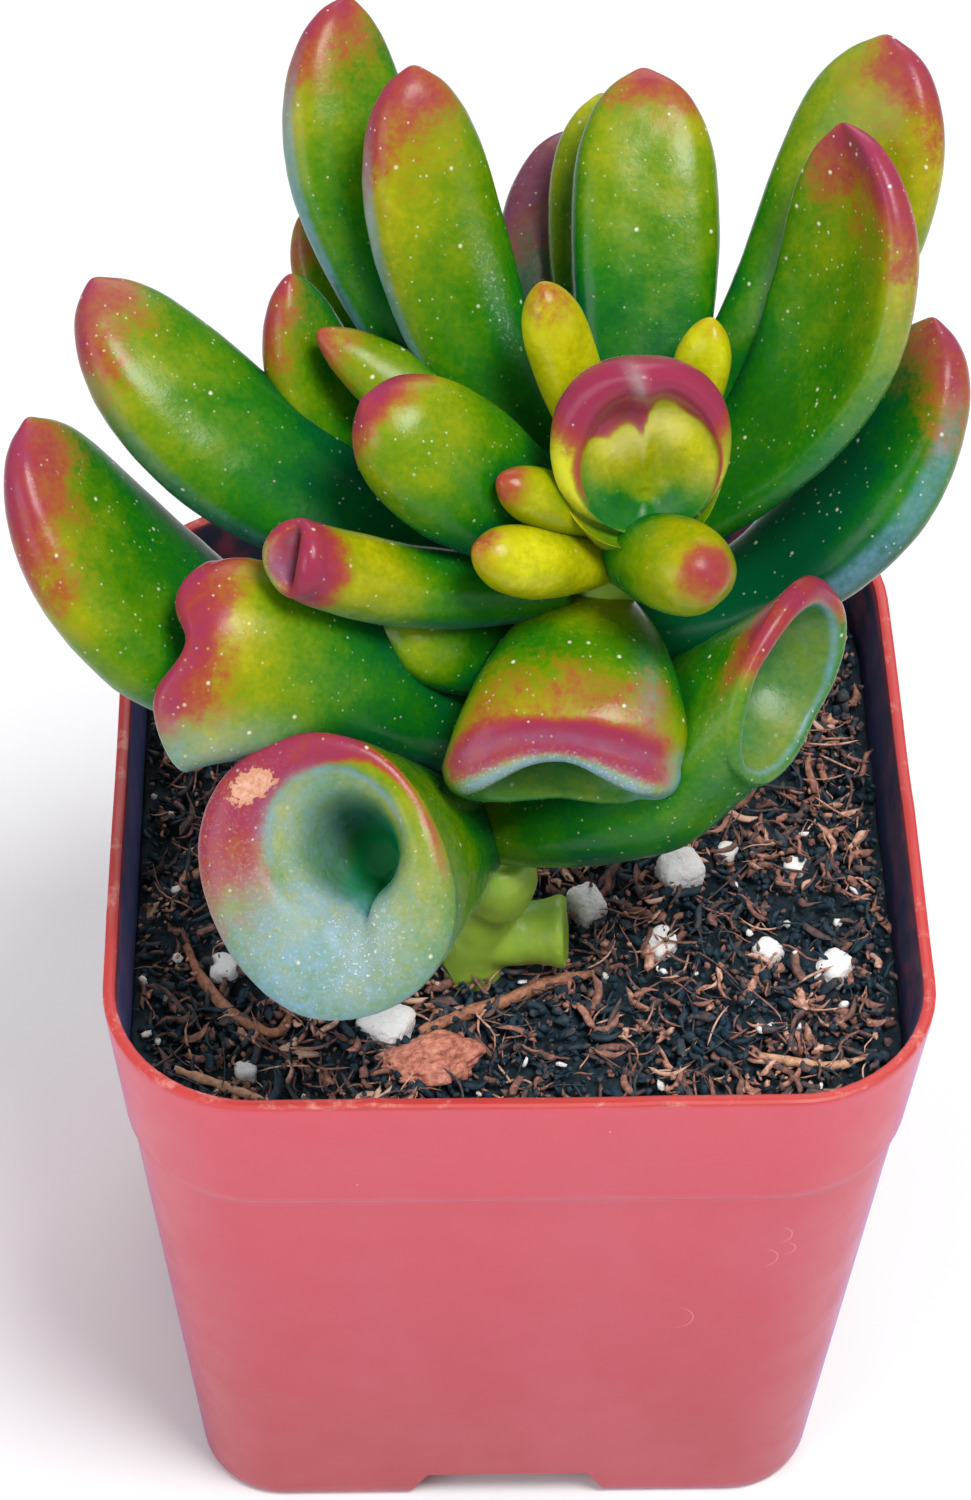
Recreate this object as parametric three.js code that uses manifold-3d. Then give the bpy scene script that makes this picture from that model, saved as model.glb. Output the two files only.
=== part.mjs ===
// A young ogre ears crassula in a square nursery pot filled with potting mix.
// Units are millimetres, +Z is up, the front is -Y, and the origin is the middle of the pot's underside.
import * as THREE from "three";
import { mergeVertices } from "three/addons/utils/BufferGeometryUtils.js";
import Module from "manifold-3d";

const wasm = await Module();
wasm.setup();

// Driving dimensions of the pot and its filling
const POT_RIM_WIDTH = 57;
const POT_BASE_WIDTH = 48.1;
const POT_HEIGHT = 57.5;
const POT_RIM_CORNER = 10.5;
const POT_BASE_CORNER = 6.5;
const POT_WALL = 0.9;
const POT_FLOOR = 1.0;
const FOOT_ROUNDING = 0.8;
const SHOULDER_HEIGHT = 45.5;
const SHOULDER_STEP = 0.25;
const SHOULDER_ROUNDING = 0.8;
const ARCH_HEIGHT = 3.3;
const ARCH_HALF_WIDTH = 6.2;
const ARCH_FLARE = 1.6;
const PAD_RADIUS = 4;
const DRAIN_RADIUS = 2.2;
const DRAIN_OFFSET = 13;
const SOIL_LEVEL = 52;
const SOIL_RELIEF = 0.7;
const SOIL_ROUNDING = 1.2;
const SOIL_EDGE_DROP = 0.8;

// Clearance between neighbouring pieces, and the distance at which two corners of a mesh count as one
const GAP = 0.3;
const WELD = 1e-4;

// How finely the leaves, the stem, the mix's top and the twigs are divided
const LEAF_SIDES = 12;
const BLADE_ROWS = [0, 0.14, 0.3, 0.46, 0.61, 0.75, 0.87, 0.95, 0.985];
const TUBE_ROWS = [0, 0.17, 0.35, 0.52, 0.68, 0.84, 1];
const LIP_ROWS = [0.35, 0.75, 1];
const BOWL_ROWS = [0.35, 0.7];
const STEM_SIDES = 12;
const STEM_STEPS = 16;
const SOIL_SHARES = [1, 0.93, 0.83, 0.71, 0.58, 0.45, 0.31, 0.16];
const TWIG_STEPS = 6;
const TWIG_CURVE_SEGMENTS = 3;

// How square a closed leaf's section is: 2 is an ellipse
const BLADE_POWER = 2.2;

// How far a lump's corners are pulled in or out, and how much of its height lifts it over the mix
const LUMP_LEAST = 0.82;
const LUMP_SPREAD = 0.3;
const LUMP_SHOWING = 0.35;

// The stem's centre line with its radius at each point, from the peg in the soil to the growing tip
const STEM = [
  { at: [-2.8, -12.4, 43], radius: 1.9 },
  { at: [-2.8, -12.2, 52], radius: 2.3 },
  { at: [-2.7, -12.0, 57], radius: 2.5 },
  { at: [-2.4, -11.4, 61], radius: 2.9 },
  { at: [-2.0, -10.4, 65], radius: 3.0 },
  { at: [-0.4, -8.6, 70], radius: 2.7 },
  { at: [2.4, -6.2, 75.5], radius: 2.8 },
  { at: [4.8, -4.0, 80.5], radius: 2.7 },
  { at: [6.2, -2.6, 84.5], radius: 2.5 },
  { at: [6.8, -2.0, 88], radius: 1.5 },
];

// A short side branch, cut off flat, and the swollen joint above it
const STUMP = { from: [-2.4, -12, 55.2], to: [3.4, -12.4, 55.9], radius: 2.35, flare: 1.15 };
const KNOB = { at: [-1.7, -12.2, 61.2], radius: 2.7 };

// White perlite lumps on the mix: place, half width, and how tall each is for its width
const PERLITE = [
  { at: [11.9, -4.5], size: 1.8, tall: 0.9 },
  { at: [5.2, -7.4], size: 1.5, tall: 0.95 },
  { at: [10.2, -10.6], size: 1.3, tall: 0.7 },
  { at: [17.8, -11.3], size: 1.1, tall: 0.9 },
  { at: [22.4, -12.8], size: 1.4, tall: 0.85 },
  { at: [-9.2, -17.6], size: 2.1, tall: 0.65 },
  { at: [15.4, -2.4], size: 0.9, tall: 0.9 },
  { at: [20.2, -3.8], size: 0.9, tall: 0.8 },
  { at: [-20.4, -12.6], size: 1.2, tall: 0.8 },
  { at: [-18.8, -21.4], size: 0.9, tall: 0.9 },
  { at: [-14.5, 11.5], size: 1.4, tall: 0.8 },
  { at: [9.5, 15.5], size: 1.6, tall: 0.8 },
];

// Twigs and fibres lying in the mix: points along each and its half thickness
const TWIGS = {
  twig_middle: {
    points: [[-6.8, -18.4], [-3.8, -17], [-0.8, -15.9], [2.4, -14.4], [5.4, -13.6]], radius: 0.5,
  },
  twig_left: {
    points: [[-23.2, -10.6], [-21.8, -14], [-19.4, -17.2], [-16.6, -18.4], [-15.4, -15.9]], radius: 0.4,
  },
  fibre_left: { points: [[-23.6, -21.8], [-21.6, -22.6], [-19.4, -23.4], [-17.4, -24.4]], radius: 0.35 },
  fibre_right: { points: [[16.6, -20.6], [19.0, -21.4], [21.6, -21.8], [24.2, -20.8]], radius: 0.35 },
};

// A crumbly piece of bark at the front
const BARK = { at: [-6.0, -21.2], size: [3.4, 1.5, 1.1], turn: 8 };

// Leaves that close in a blunt tip. The spine runs from foot to tip, drawn towards bend; face is the way
// the inner side looks; width and thick are half sizes at the root and at the widest place; dish hollows
// the inner side and curl rolls the two edges towards it.
const BLADES = {
  leaf_top_middle: {
    foot: [7.5, -1, 85], bend: [8.5, 9, 95], tip: [8.2, 20.5, 104.9], face: [0, -0.8, 0.6],
    width: [3.2, 4.9], thick: [2.0, 2.8], widest: 0.62, fullness: 2.8, dish: 0.3, curl: 0.1,
  },
  leaf_tall_left_front: {
    foot: [4.5, -1, 84], bend: [-6.0, 7, 94], tip: [-7.0, 14, 110.3], face: [0.3, -0.8, 0.5],
    width: [3.0, 4.45], thick: [2.0, 2.9], widest: 0.66, fullness: 2.5, dish: 0.1, curl: 0.1,
  },
  leaf_tall_left: {
    foot: [3, 0.5, 84], bend: [-13.9, 14, 97], tip: [-11.2, 23, 108.8], face: [0.4, -0.8, 0.4],
    width: [2.8, 4.7], thick: [1.8, 2.8], widest: 0.64, fullness: 1.9, dish: 0.2, curl: 0.1,
  },
  leaf_sliver_left: {
    foot: [-1, 3, 79], bend: [-11, 13, 84], tip: [-14.2, 18, 94.8], face: [0.6, -0.5, 0.6],
    width: [2.0, 3.0], thick: [1.4, 2.0], widest: 0.6, fullness: 2.2, dish: 0.2, curl: 0.1,
  },
  leaf_upper_left: {
    foot: [0.5, -3, 81], bend: [-19.8, -1.2, 86.5], tip: [-27.6, 7.6, 98.2], face: [0.6, -0.5, 0.65],
    width: [2.6, 5.35], thick: [1.8, 3.2], widest: 0.62, fullness: 2.3, dish: 0.1, curl: 0.1,
  },
  leaf_far_left: {
    foot: [-3, -8, 75], bend: [-25.9, -9.9, 76.2], tip: [-31.7, -1, 94], face: [0.6, -0.1, 0.75],
    width: [2.6, 7.0], thick: [1.8, 3.5], widest: 0.58, fullness: 2.2, dish: 0.1, curl: 0.1,
  },
  leaf_inner_left: {
    foot: [2, -2, 81], bend: [-13.5, 4, 82], tip: [-15.0, 9, 97.2], face: [0.7, -0.6, 0.5],
    width: [2.2, 3.8], thick: [1.6, 2.6], widest: 0.6, fullness: 2.4, dish: 0.1, curl: 0.1,
  },
  leaf_small_cone: {
    foot: [3, -2, 87], bend: [-6, 3, 91.5], tip: [-13, 5, 96], face: [0.4, -0.6, 0.7],
    width: [2.0, 2.8], thick: [1.4, 2.0], widest: 0.45, fullness: 1.7, dish: 0, curl: 0,
  },
  leaf_mid_left: {
    foot: [4, -4, 85], bend: [-2, -4, 90], tip: [-10.2, -3.6, 98], face: [0.4, -0.6, 0.7],
    width: [2.6, 4.8], thick: [1.9, 3.3], widest: 0.6, fullness: 2.8, dish: 0, curl: 0,
  },
  leaf_tall_right: {
    foot: [8.4, 0, 86], bend: [22.0, 8, 95.2], tip: [23.4, 17, 110.3], face: [-0.5, -0.7, 0.5],
    width: [3.2, 5.7], thick: [1.9, 3.0], widest: 0.66, fullness: 2.6, dish: 0.2, curl: 0.2,
  },
  leaf_right: {
    foot: [9, -2, 85.5], bend: [24.6, 0.6, 95.8], tip: [20.0, 9, 109.6], face: [-0.8, -0.4, 0.5],
    width: [3.0, 6.0], thick: [2.0, 2.6], widest: 0.56, fullness: 2.6, dish: 0.6, curl: 0.4,
  },
  leaf_far_right: {
    foot: [7, -4, 77], bend: [24.5, -3, 81.4], tip: [26.8, 6.5, 95.5], face: [-0.6, -0.1, 0.8],
    width: [2.8, 5.4], thick: [2.0, 3.2], widest: 0.6, fullness: 2.6, dish: 0.2, curl: 0.2,
  },
  leaf_top_behind: {
    foot: [7.5, 2, 83], bend: [6.4, 13, 91.4], tip: [5.8, 24, 100], face: [0, -0.8, 0.6],
    width: [2.6, 4.2], thick: [1.8, 2.2], widest: 0.6, fullness: 2.5, dish: 0.2, curl: 0.1,
  },
  leaf_purple_back: {
    foot: [5.5, 2, 79], bend: [0.1, 14.5, 88.2], tip: [3.8, 27, 94.3], face: [0, -0.7, 0.7],
    width: [2.4, 3.9], thick: [1.8, 2.4], widest: 0.6, fullness: 2.0, dish: 0.2, curl: 0.1,
  },
  young_finger_left: {
    foot: [6.2, -1.6, 88], bend: [3.4, 0, 94], tip: [1.0, 1.8, 102.8], face: [0.5, -0.8, 0.3],
    width: [1.7, 2.15], thick: [1.4, 1.8], widest: 0.66, fullness: 3.6, dish: 0, curl: 0,
  },
  young_finger_right: {
    foot: [8, -1.4, 88], bend: [11, 1, 91], tip: [12, 3.5, 98.3], face: [-0.5, -0.8, 0.3],
    width: [1.3, 1.9], thick: [1.1, 1.5], widest: 0.66, fullness: 3.6, dish: 0, curl: 0,
  },
  young_small_upper: {
    foot: [6, -4, 88], bend: [2.5, -6, 90.6], tip: [-1.6, -7, 94.4], face: [0.3, -0.5, 0.8],
    width: [1.3, 1.9], thick: [1.1, 1.6], widest: 0.6, fullness: 2.8, dish: 0, curl: 0,
  },
  young_small_lower: {
    foot: [5.5, -5.5, 86], bend: [1.5, -9, 88], tip: [-3.2, -10.5, 91.8], face: [0.3, -0.5, 0.8],
    width: [1.6, 2.3], thick: [1.4, 2.0], widest: 0.6, fullness: 2.8, dish: 0, curl: 0,
  },
  leaf_bulb: {
    foot: [6, -4, 85.6], bend: [8.2, -8, 88.8], tip: [12.0, -12.8, 91.0], face: [0, -0.3, 1],
    width: [2.3, 3.1], thick: [2.2, 3.0], widest: 0.6, fullness: 3.0, dish: 0, curl: 0,
  },
  leaf_low_middle: {
    foot: [2, -5, 76], bend: [-4, -7, 81], tip: [-9, -9, 83], face: [0.2, -0.5, 0.85],
    width: [3.0, 4.0], thick: [1.6, 2.1], widest: 0.5, fullness: 2.6, dish: 0, curl: 0,
  },
};

// Leaves whose end is a cup, the ogre's ear. The mouth looks along mouth; width and thick are half sizes
// at the root, halfway and at the mouth; hollow is the cup's middle and half sizes as shares of the mouth,
// its depth, and two powers: how flat its bottom is and how gently it sets out from the edge;
// sink moves the deepest point off that middle; rise is the lip's height as a share of its breadth, with
// crest raising it on one side; notch lowers the rim and dip moves the hollow's edge in or out at one place.
// Notch, dip and crest are [degrees, amount, degrees wide].
const TRUMPETS = {
  leaf_big_trumpet: {
    foot: [-2.4, -10.5, 64], bend: [-7, -14, 67], tip: [-12.8, -23, 74.8], face: [-0.45, 0.75, 0.66],
    mouth: [-0.1, -0.68, 0.72], width: [2.6, 5.2, 7.8], thick: [2.4, 5.8, 9.3],
    hollow: { at: [-0.2, 0.2], size: [0.53, 0.5], turn: 0, depth: 8, power: 9, entry: 3 },
    rise: 0.24, saddle: 0, notch: [280, 0.5, 14], dip: [280, 0.24, 8], crest: [90, 0, 40],
    sink: [-0.4, -0.7], square: 2.2,
  },
  leaf_front_curl: {
    foot: [4.4, -4, 80], bend: [4, -13, 83], tip: [2.4, -16.5, 77.3], face: [0, -0.3, 1],
    mouth: [-0.02, -0.84, -0.54], width: [3.0, 6.5, 7.8], thick: [1.8, 2.8, 3.7],
    hollow: { at: [0, -0.1], size: [0.6, 0.5], turn: 0, depth: 5, power: 2.2, entry: 1 },
    rise: 0.6, saddle: -0.3, notch: [82, 2.0, 42], dip: [90, 0, 20], crest: [90, 0, 40],
    sink: [0, 0], square: 2.3,
  },
  leaf_right_trumpet: {
    foot: [-3, -10.5, 65.5], bend: [7.4, -14, 71.5], tip: [16.8, -11.2, 80.2], face: [-0.44, -0.25, 0.8],
    mouth: [0.72, -0.55, 0.24], width: [2.6, 5.6, 7.1], thick: [2.4, 3.7, 5.2],
    hollow: { at: [0.06, -0.02], size: [0.8, 0.76], turn: 0, depth: 4, power: 2.0, entry: 1 },
    rise: 0.5, saddle: 0, notch: [0, 0, 20], dip: [0, 0, 20], crest: [90, 0, 40],
    sink: [0, 0], square: 2.5,
  },
  leaf_heart_spoon: {
    foot: [-3, -9, 72], bend: [-15, -11.5, 85], tip: [-21.6, -12.2, 83.2], face: [0.2, -0.6, 0.75],
    mouth: [-0.95, 0.2, -0.02], width: [2.6, 5.6, 6.9], thick: [2.2, 3.6, 3.8],
    hollow: { at: [0, 0], size: [0.72, 0.62], turn: 0, depth: 5, power: 2.2, entry: 1 },
    rise: 0.5, saddle: -0.9, notch: [82, 1.8, 20], dip: [90, 0, 20], crest: [90, 0, 40],
    sink: [0, 0], square: 2.2,
  },
  leaf_hood: {
    foot: [7, -3, 86], bend: [7.4, -5.6, 91], tip: [7.2, -5.3, 96], face: [0, 0.7, 0.7],
    mouth: [0.05, -0.75, 0.65], width: [2.8, 4.4, 5.8], thick: [2.4, 4.0, 5.6],
    hollow: { at: [-0.14, -0.18], size: [0.66, 0.62], turn: 0, depth: 2.7, power: 2.0, entry: 1 },
    rise: 0.4, saddle: 0, notch: [272, 1.6, 48], dip: [98, -0.26, 15], crest: [90, 0.6, 60],
    sink: [0, -0.25], square: 2.2,
  },
  leaf_small_trumpet: {
    foot: [2.4, -5, 83], bend: [-7.2, -8.5, 85], tip: [-14.4, -10, 90.6], face: [0.3, -0.4, 0.9],
    mouth: [-0.66, -0.5, 0.56], width: [2.0, 2.7, 2.6], thick: [1.7, 2.4, 2.4],
    hollow: { at: [0, 0.05], size: [0.62, 0.16], turn: 30, depth: 1.1, power: 2.0, entry: 1 },
    rise: 0.7, saddle: 0, notch: [90, 0, 20], dip: [90, 0, 20], crest: [90, 0, 40],
    sink: [0, 0], square: 2.1,
  },
};

// Which piece keeps its whole form where two press together: each gives way to those before it
const ORDER = [
  "leaf_big_trumpet", "leaf_front_curl", "leaf_hood", "leaf_bulb", "young_small_lower",
  "young_small_upper", "young_finger_left", "young_finger_right", "leaf_right_trumpet",
  "leaf_heart_spoon", "leaf_small_trumpet", "leaf_mid_left", "leaf_small_cone", "leaf_tall_left_front",
  "leaf_top_middle", "leaf_right", "leaf_inner_left", "leaf_far_left", "leaf_upper_left",
  "leaf_tall_right", "leaf_far_right", "leaf_tall_left", "leaf_top_behind", "leaf_sliver_left",
  "leaf_purple_back", "leaf_low_middle",
];

const vec = (p) => new THREE.Vector3(p[0], p[1], p[2]);
const mix = (a, b, s) => a + (b - a) * s;
const radians = (degrees) => (degrees * Math.PI) / 180;
const smooth = (s) => {
  const c = Math.min(1, Math.max(0, s));
  return c * c * (3 - 2 * c);
};

// A repeatable random draw between 0 and 1
function randomFrom(seed) {
  let state = seed;
  return () => {
    state = (state * 1664525 + 1013904223) % 4294967296;
    return state / 4294967296;
  };
}

// A closed skin over rings of equal length, with a point in the middle of each end
function skin(rings, startPoint, endPoint) {
  const sides = rings[0].length;
  const points = [startPoint, ...rings.flat(), endPoint];
  const positions = points.flatMap((p) => [p.x, p.y, p.z]);
  const faces = [];
  const last = points.length - 1;
  for (let i = 0; i < sides; i += 1) {
    const j = (i + 1) % sides;
    faces.push(0, 1 + j, 1 + i);
    for (let row = 0; row < rings.length - 1; row += 1) {
      const near = 1 + row * sides;
      const far = near + sides;
      faces.push(near + i, near + j, far + j, near + i, far + j, far + i);
    }
    const end = 1 + (rings.length - 1) * sides;
    faces.push(end + i, end + j, last);
  }
  const geometry = new THREE.BufferGeometry();
  geometry.setAttribute("position", new THREE.Float32BufferAttribute(positions, 3));
  geometry.setIndex(faces);
  return geometry;
}

function toMesh(geometry) {
  return new wasm.Mesh({
    numProp: 3,
    vertProperties: Float32Array.from(geometry.attributes.position.array),
    triVerts: Uint32Array.from(geometry.index.array),
  });
}

// A closed geometry as a solid, with every corner moved outwards by a swelling where one is given
function toSolid(geometry, swelling = 0) {
  let plain = geometry.clone();
  plain.deleteAttribute("normal");
  plain.deleteAttribute("uv");
  plain = mergeVertices(plain, WELD);
  const solid = new wasm.Manifold(toMesh(plain));
  if (solid.volume() < 0) {
    plain.setIndex(Array.from(plain.index.array).reverse());
  } else if (swelling === 0) {
    return solid;
  }
  plain.computeVertexNormals();
  const { position, normal } = plain.attributes;
  for (let i = 0; i < position.array.length; i += 1) {
    position.array[i] += normal.array[i] * swelling;
  }
  return new wasm.Manifold(toMesh(plain));
}

function toGeometry(solid) {
  const mesh = solid.getMesh();
  const geometry = new THREE.BufferGeometry();
  geometry.setAttribute("position", new THREE.Float32BufferAttribute(mesh.vertProperties, 3));
  geometry.setIndex(Array.from(mesh.triVerts));
  return geometry;
}

function largestPart(solid) {
  const parts = solid.decompose();
  return parts.reduce((best, part) => (part.volume() > best.volume() ? part : best));
}

// The middle, axis and two cross directions of a leaf at a share t of its spine
function leafFrame(leaf, t) {
  const foot = vec(leaf.foot);
  const bend = vec(leaf.bend);
  const tip = vec(leaf.tip);
  const middle = foot
    .clone()
    .multiplyScalar((1 - t) ** 2)
    .addScaledVector(bend, 2 * t * (1 - t))
    .addScaledVector(tip, t * t);
  const axis = bend
    .clone()
    .sub(foot)
    .multiplyScalar(1 - t)
    .addScaledVector(tip.clone().sub(bend), t)
    .normalize();
  if (leaf.mouth) {
    axis.lerp(vec(leaf.mouth).normalize(), smooth((t - 0.3) / 0.7)).normalize();
  }
  const face = vec(leaf.face);
  const up = face.addScaledVector(axis, -face.dot(axis)).normalize();
  const across = axis.clone().cross(up);
  return { middle, axis, up, across };
}

function onOutline(angle, halfWidth, halfThick, power) {
  const c = Math.cos(angle);
  const s = Math.sin(angle);
  return [
    halfWidth * Math.sign(c) * Math.abs(c) ** (2 / power),
    halfThick * Math.sign(s) * Math.abs(s) ** (2 / power),
  ];
}

// Half sizes of a closed leaf at t: swelling from the root, then rounding off to the tip
function bladeSize(pair, leaf, t) {
  const [root, most] = pair;
  if (t < leaf.widest) {
    return mix(root, most, smooth(t / leaf.widest) * 0.6 + (t / leaf.widest) * 0.4);
  }
  const s = (t - leaf.widest) / (1 - leaf.widest);
  return most * Math.sqrt(Math.max(0, 1 - s ** leaf.fullness));
}

function bladeRing(leaf, t) {
  const { middle, up, across } = leafFrame(leaf, t);
  const halfWidth = bladeSize(leaf.width, leaf, t);
  const halfThick = bladeSize(leaf.thick, leaf, t);
  const bowl = leaf.dish * smooth(t / 0.5);
  const roll = leaf.curl * smooth(t / 0.4);
  const ring = [];
  for (let i = 0; i < LEAF_SIDES; i += 1) {
    const outline = onOutline((i / LEAF_SIDES) * 2 * Math.PI, halfWidth, halfThick, BLADE_POWER);
    let [x, y] = outline;
    if (y > 0) {
      y -= bowl * halfThick * (1 - (x / halfWidth) ** 2);
    }
    if (roll > 0) {
      const radius = halfWidth / roll;
      [x, y] = [(radius - y) * Math.sin(x / radius), radius - (radius - y) * Math.cos(x / radius)];
    }
    ring.push(middle.clone().addScaledVector(across, x).addScaledVector(up, y));
  }
  return ring;
}

function bladeGeometry(leaf) {
  const rings = BLADE_ROWS.map((t) => bladeRing(leaf, t));
  return skin(rings, leafFrame(leaf, 0).middle, leafFrame(leaf, 1).middle);
}

function angleBump(angle, [centre, amount, breadth]) {
  let away = angle - radians(centre);
  away = Math.atan2(Math.sin(away), Math.cos(away));
  return amount * Math.exp(-((away / radians(breadth)) ** 2));
}

// Half size through three values given at the root, halfway and at the mouth
function throughThree([a, b, c], t) {
  return a * (1 - t) * (1 - 2 * t) + b * 4 * t * (1 - t) + c * t * (2 * t - 1);
}

function trumpetGeometry(leaf, filled = false) {
  const angles = Array.from({ length: LEAF_SIDES }, (_, i) => (i / LEAF_SIDES) * 2 * Math.PI);
  const rim = leafFrame(leaf, 1);
  const place = (frame, x, y, lift) =>
    frame.middle
      .clone()
      .addScaledVector(frame.across, x)
      .addScaledVector(frame.up, y)
      .addScaledVector(frame.axis, lift);
  const rimLift = (angle) => leaf.saddle * Math.cos(2 * angle) - angleBump(angle, leaf.notch);
  const rings = TUBE_ROWS.map((t) => {
    const frame = leafFrame(leaf, t);
    const halfWidth = throughThree(leaf.width, t);
    const halfThick = throughThree(leaf.thick, t);
    return angles.map((angle) => {
      const [x, y] = onOutline(angle, halfWidth, halfThick, leaf.square);
      return place(frame, x, y, rimLift(angle) * smooth((t - 0.6) / 0.4));
    });
  });
  const halfWidth = leaf.width[2];
  const halfThick = leaf.thick[2];
  const { at, size, turn, depth, power, entry } = leaf.hollow;
  const centre = [at[0] * halfWidth, at[1] * halfThick];
  const sinkX = leaf.sink[0] * halfWidth * size[0];
  const sinkY = leaf.sink[1] * halfThick * size[1];
  const c = Math.cos(radians(turn));
  const s = Math.sin(radians(turn));
  const innerAt = (angle, share) => {
    const grow = (1 + angleBump(angle, leaf.dip)) * share;
    const wide = halfWidth * size[0] * grow;
    const deep = halfThick * size[1] * grow;
    const [x, y] = onOutline(angle - radians(turn), wide, deep, 2);
    return [centre[0] + x * c - y * s, centre[1] + x * s + y * c];
  };
  for (const u of LIP_ROWS) {
    const across = (1 - Math.cos(Math.PI * u)) / 2;
    rings.push(
      angles.map((angle) => {
        const outer = onOutline(angle, halfWidth, halfThick, leaf.square);
        const inner = innerAt(angle, 1);
        const breadth = Math.hypot(outer[0] - inner[0], outer[1] - inner[1]);
        const rise = leaf.rise + angleBump(angle, leaf.crest);
        const lift = rise * breadth * Math.sin(Math.PI * u) ** 0.9 + rimLift(angle);
        return place(rim, mix(outer[0], inner[0], across), mix(outer[1], inner[1], across), lift);
      })
    );
  }
  if (filled) {
    return skin(rings, leafFrame(leaf, 0).middle, place(rim, centre[0], centre[1], 0));
  }
  for (const v of BOWL_ROWS) {
    rings.push(
      angles.map((angle) => {
        const [x, y] = innerAt(angle, 1 - v);
        const lift = rimLift(angle) * (1 - v) - depth * (1 - (1 - v ** entry) ** power);
        return place(rim, x + sinkX * v, y + sinkY * v, lift);
      })
    );
  }
  const deepest = place(rim, centre[0] + sinkX, centre[1] + sinkY, -depth);
  return skin(rings, leafFrame(leaf, 0).middle, deepest);
}

// A round stem through the listed points, as one skin
function stemGeometry() {
  const curve = new THREE.CatmullRomCurve3(STEM.map((s) => vec(s.at)));
  const rings = [];
  for (let k = 0; k <= STEM_STEPS; k += 1) {
    const s = k / STEM_STEPS;
    const index = Math.min(STEM.length - 2, Math.floor(s * (STEM.length - 1)));
    const radius = mix(STEM[index].radius, STEM[index + 1].radius, s * (STEM.length - 1) - index);
    const middle = curve.getPoint(s);
    const axis = curve.getTangent(s);
    const across = new THREE.Vector3(1, 0, 0).addScaledVector(axis, -axis.x).normalize();
    const up = axis.clone().cross(across);
    const ring = [];
    for (let i = 0; i < STEM_SIDES; i += 1) {
      const angle = (i / STEM_SIDES) * 2 * Math.PI;
      const x = radius * Math.cos(angle);
      const y = radius * Math.sin(angle);
      ring.push(middle.clone().addScaledVector(across, x).addScaledVector(up, y));
    }
    rings.push(ring);
  }
  const top = STEM[STEM.length - 1];
  const end = vec(top.at).addScaledVector(curve.getTangent(1), top.radius * 0.4);
  return skin(rings, vec(STEM[0].at), end);
}

function knobGeometry() {
  const geometry = new THREE.IcosahedronGeometry(KNOB.radius, 1);
  geometry.translate(...KNOB.at);
  return geometry;
}

function stumpGeometry() {
  const from = vec(STUMP.from);
  const along = vec(STUMP.to).sub(from);
  const long = along.length();
  const geometry = new THREE.CylinderGeometry(STUMP.radius * STUMP.flare, STUMP.radius, long, STEM_SIDES);
  geometry.translate(0, long / 2, 0);
  geometry.applyQuaternion(
    new THREE.Quaternion().setFromUnitVectors(new THREE.Vector3(0, 1, 0), along.normalize())
  );
  geometry.translate(from.x, from.y, from.z);
  return geometry;
}

function stemSolid(swelling = 0) {
  return toSolid(stemGeometry(), swelling)
    .add(toSolid(stumpGeometry(), swelling))
    .add(toSolid(knobGeometry(), swelling));
}

// A square outline with round corners at height z
function potOutline(half, corner, z, perCorner = 6) {
  const ring = [];
  for (let quarter = 0; quarter < 4; quarter += 1) {
    const turn = (quarter * Math.PI) / 2;
    for (let i = 0; i < perCorner; i += 1) {
      const angle = (i / (perCorner - 1)) * (Math.PI / 2);
      const x = half - corner + corner * Math.cos(angle);
      const y = half - corner + corner * Math.sin(angle);
      const c = Math.cos(turn);
      const s = Math.sin(turn);
      ring.push(new THREE.Vector3(x * c - y * s, x * s + y * c, z));
    }
  }
  return ring;
}

// Half width and corner radius of the pot's outside at height z
function potSide(z) {
  const s = z / POT_HEIGHT;
  const step = SHOULDER_STEP * smooth((SHOULDER_HEIGHT - z) / SHOULDER_ROUNDING);
  return {
    half: mix(POT_BASE_WIDTH, POT_RIM_WIDTH, s) / 2 - step,
    corner: mix(POT_BASE_CORNER, POT_RIM_CORNER, s),
  };
}

function potRing(z, inset) {
  const { half, corner } = potSide(z);
  return potOutline(half - inset, Math.max(corner - inset, 1), z);
}

function loft(rings) {
  const centre = (ring) => new THREE.Vector3(0, 0, ring[0].z);
  return toSolid(skin(rings, centre(rings[0]), centre(rings[rings.length - 1])));
}

function boxSolid(width, depth, height, x, y, z) {
  const geometry = new THREE.BoxGeometry(width, depth, height);
  geometry.translate(x, y, z);
  return toSolid(geometry);
}

function postSolid(radius, low, high, x, y, sides = 16) {
  const geometry = new THREE.CylinderGeometry(radius, radius, high - low, sides);
  geometry.rotateX(Math.PI / 2);
  geometry.translate(x, y, (low + high) / 2);
  return toSolid(geometry);
}

// The raised channel under the floor, wider at the bottom, which leaves an arch in two opposite sides
function channelSolid(degrees) {
  const low = ARCH_HALF_WIDTH + 2 * ARCH_FLARE;
  const shape = new THREE.Shape([
    new THREE.Vector2(-low, -ARCH_HEIGHT),
    new THREE.Vector2(low, -ARCH_HEIGHT),
    new THREE.Vector2(ARCH_HALF_WIDTH, ARCH_HEIGHT),
    new THREE.Vector2(-ARCH_HALF_WIDTH, ARCH_HEIGHT),
  ]);
  const geometry = new THREE.ExtrudeGeometry(shape, { depth: POT_RIM_WIDTH, bevelEnabled: false });
  geometry.translate(0, 0, -POT_RIM_WIDTH / 2);
  geometry.rotateX(Math.PI / 2);
  geometry.rotateZ(radians(degrees));
  return toSolid(geometry);
}

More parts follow.
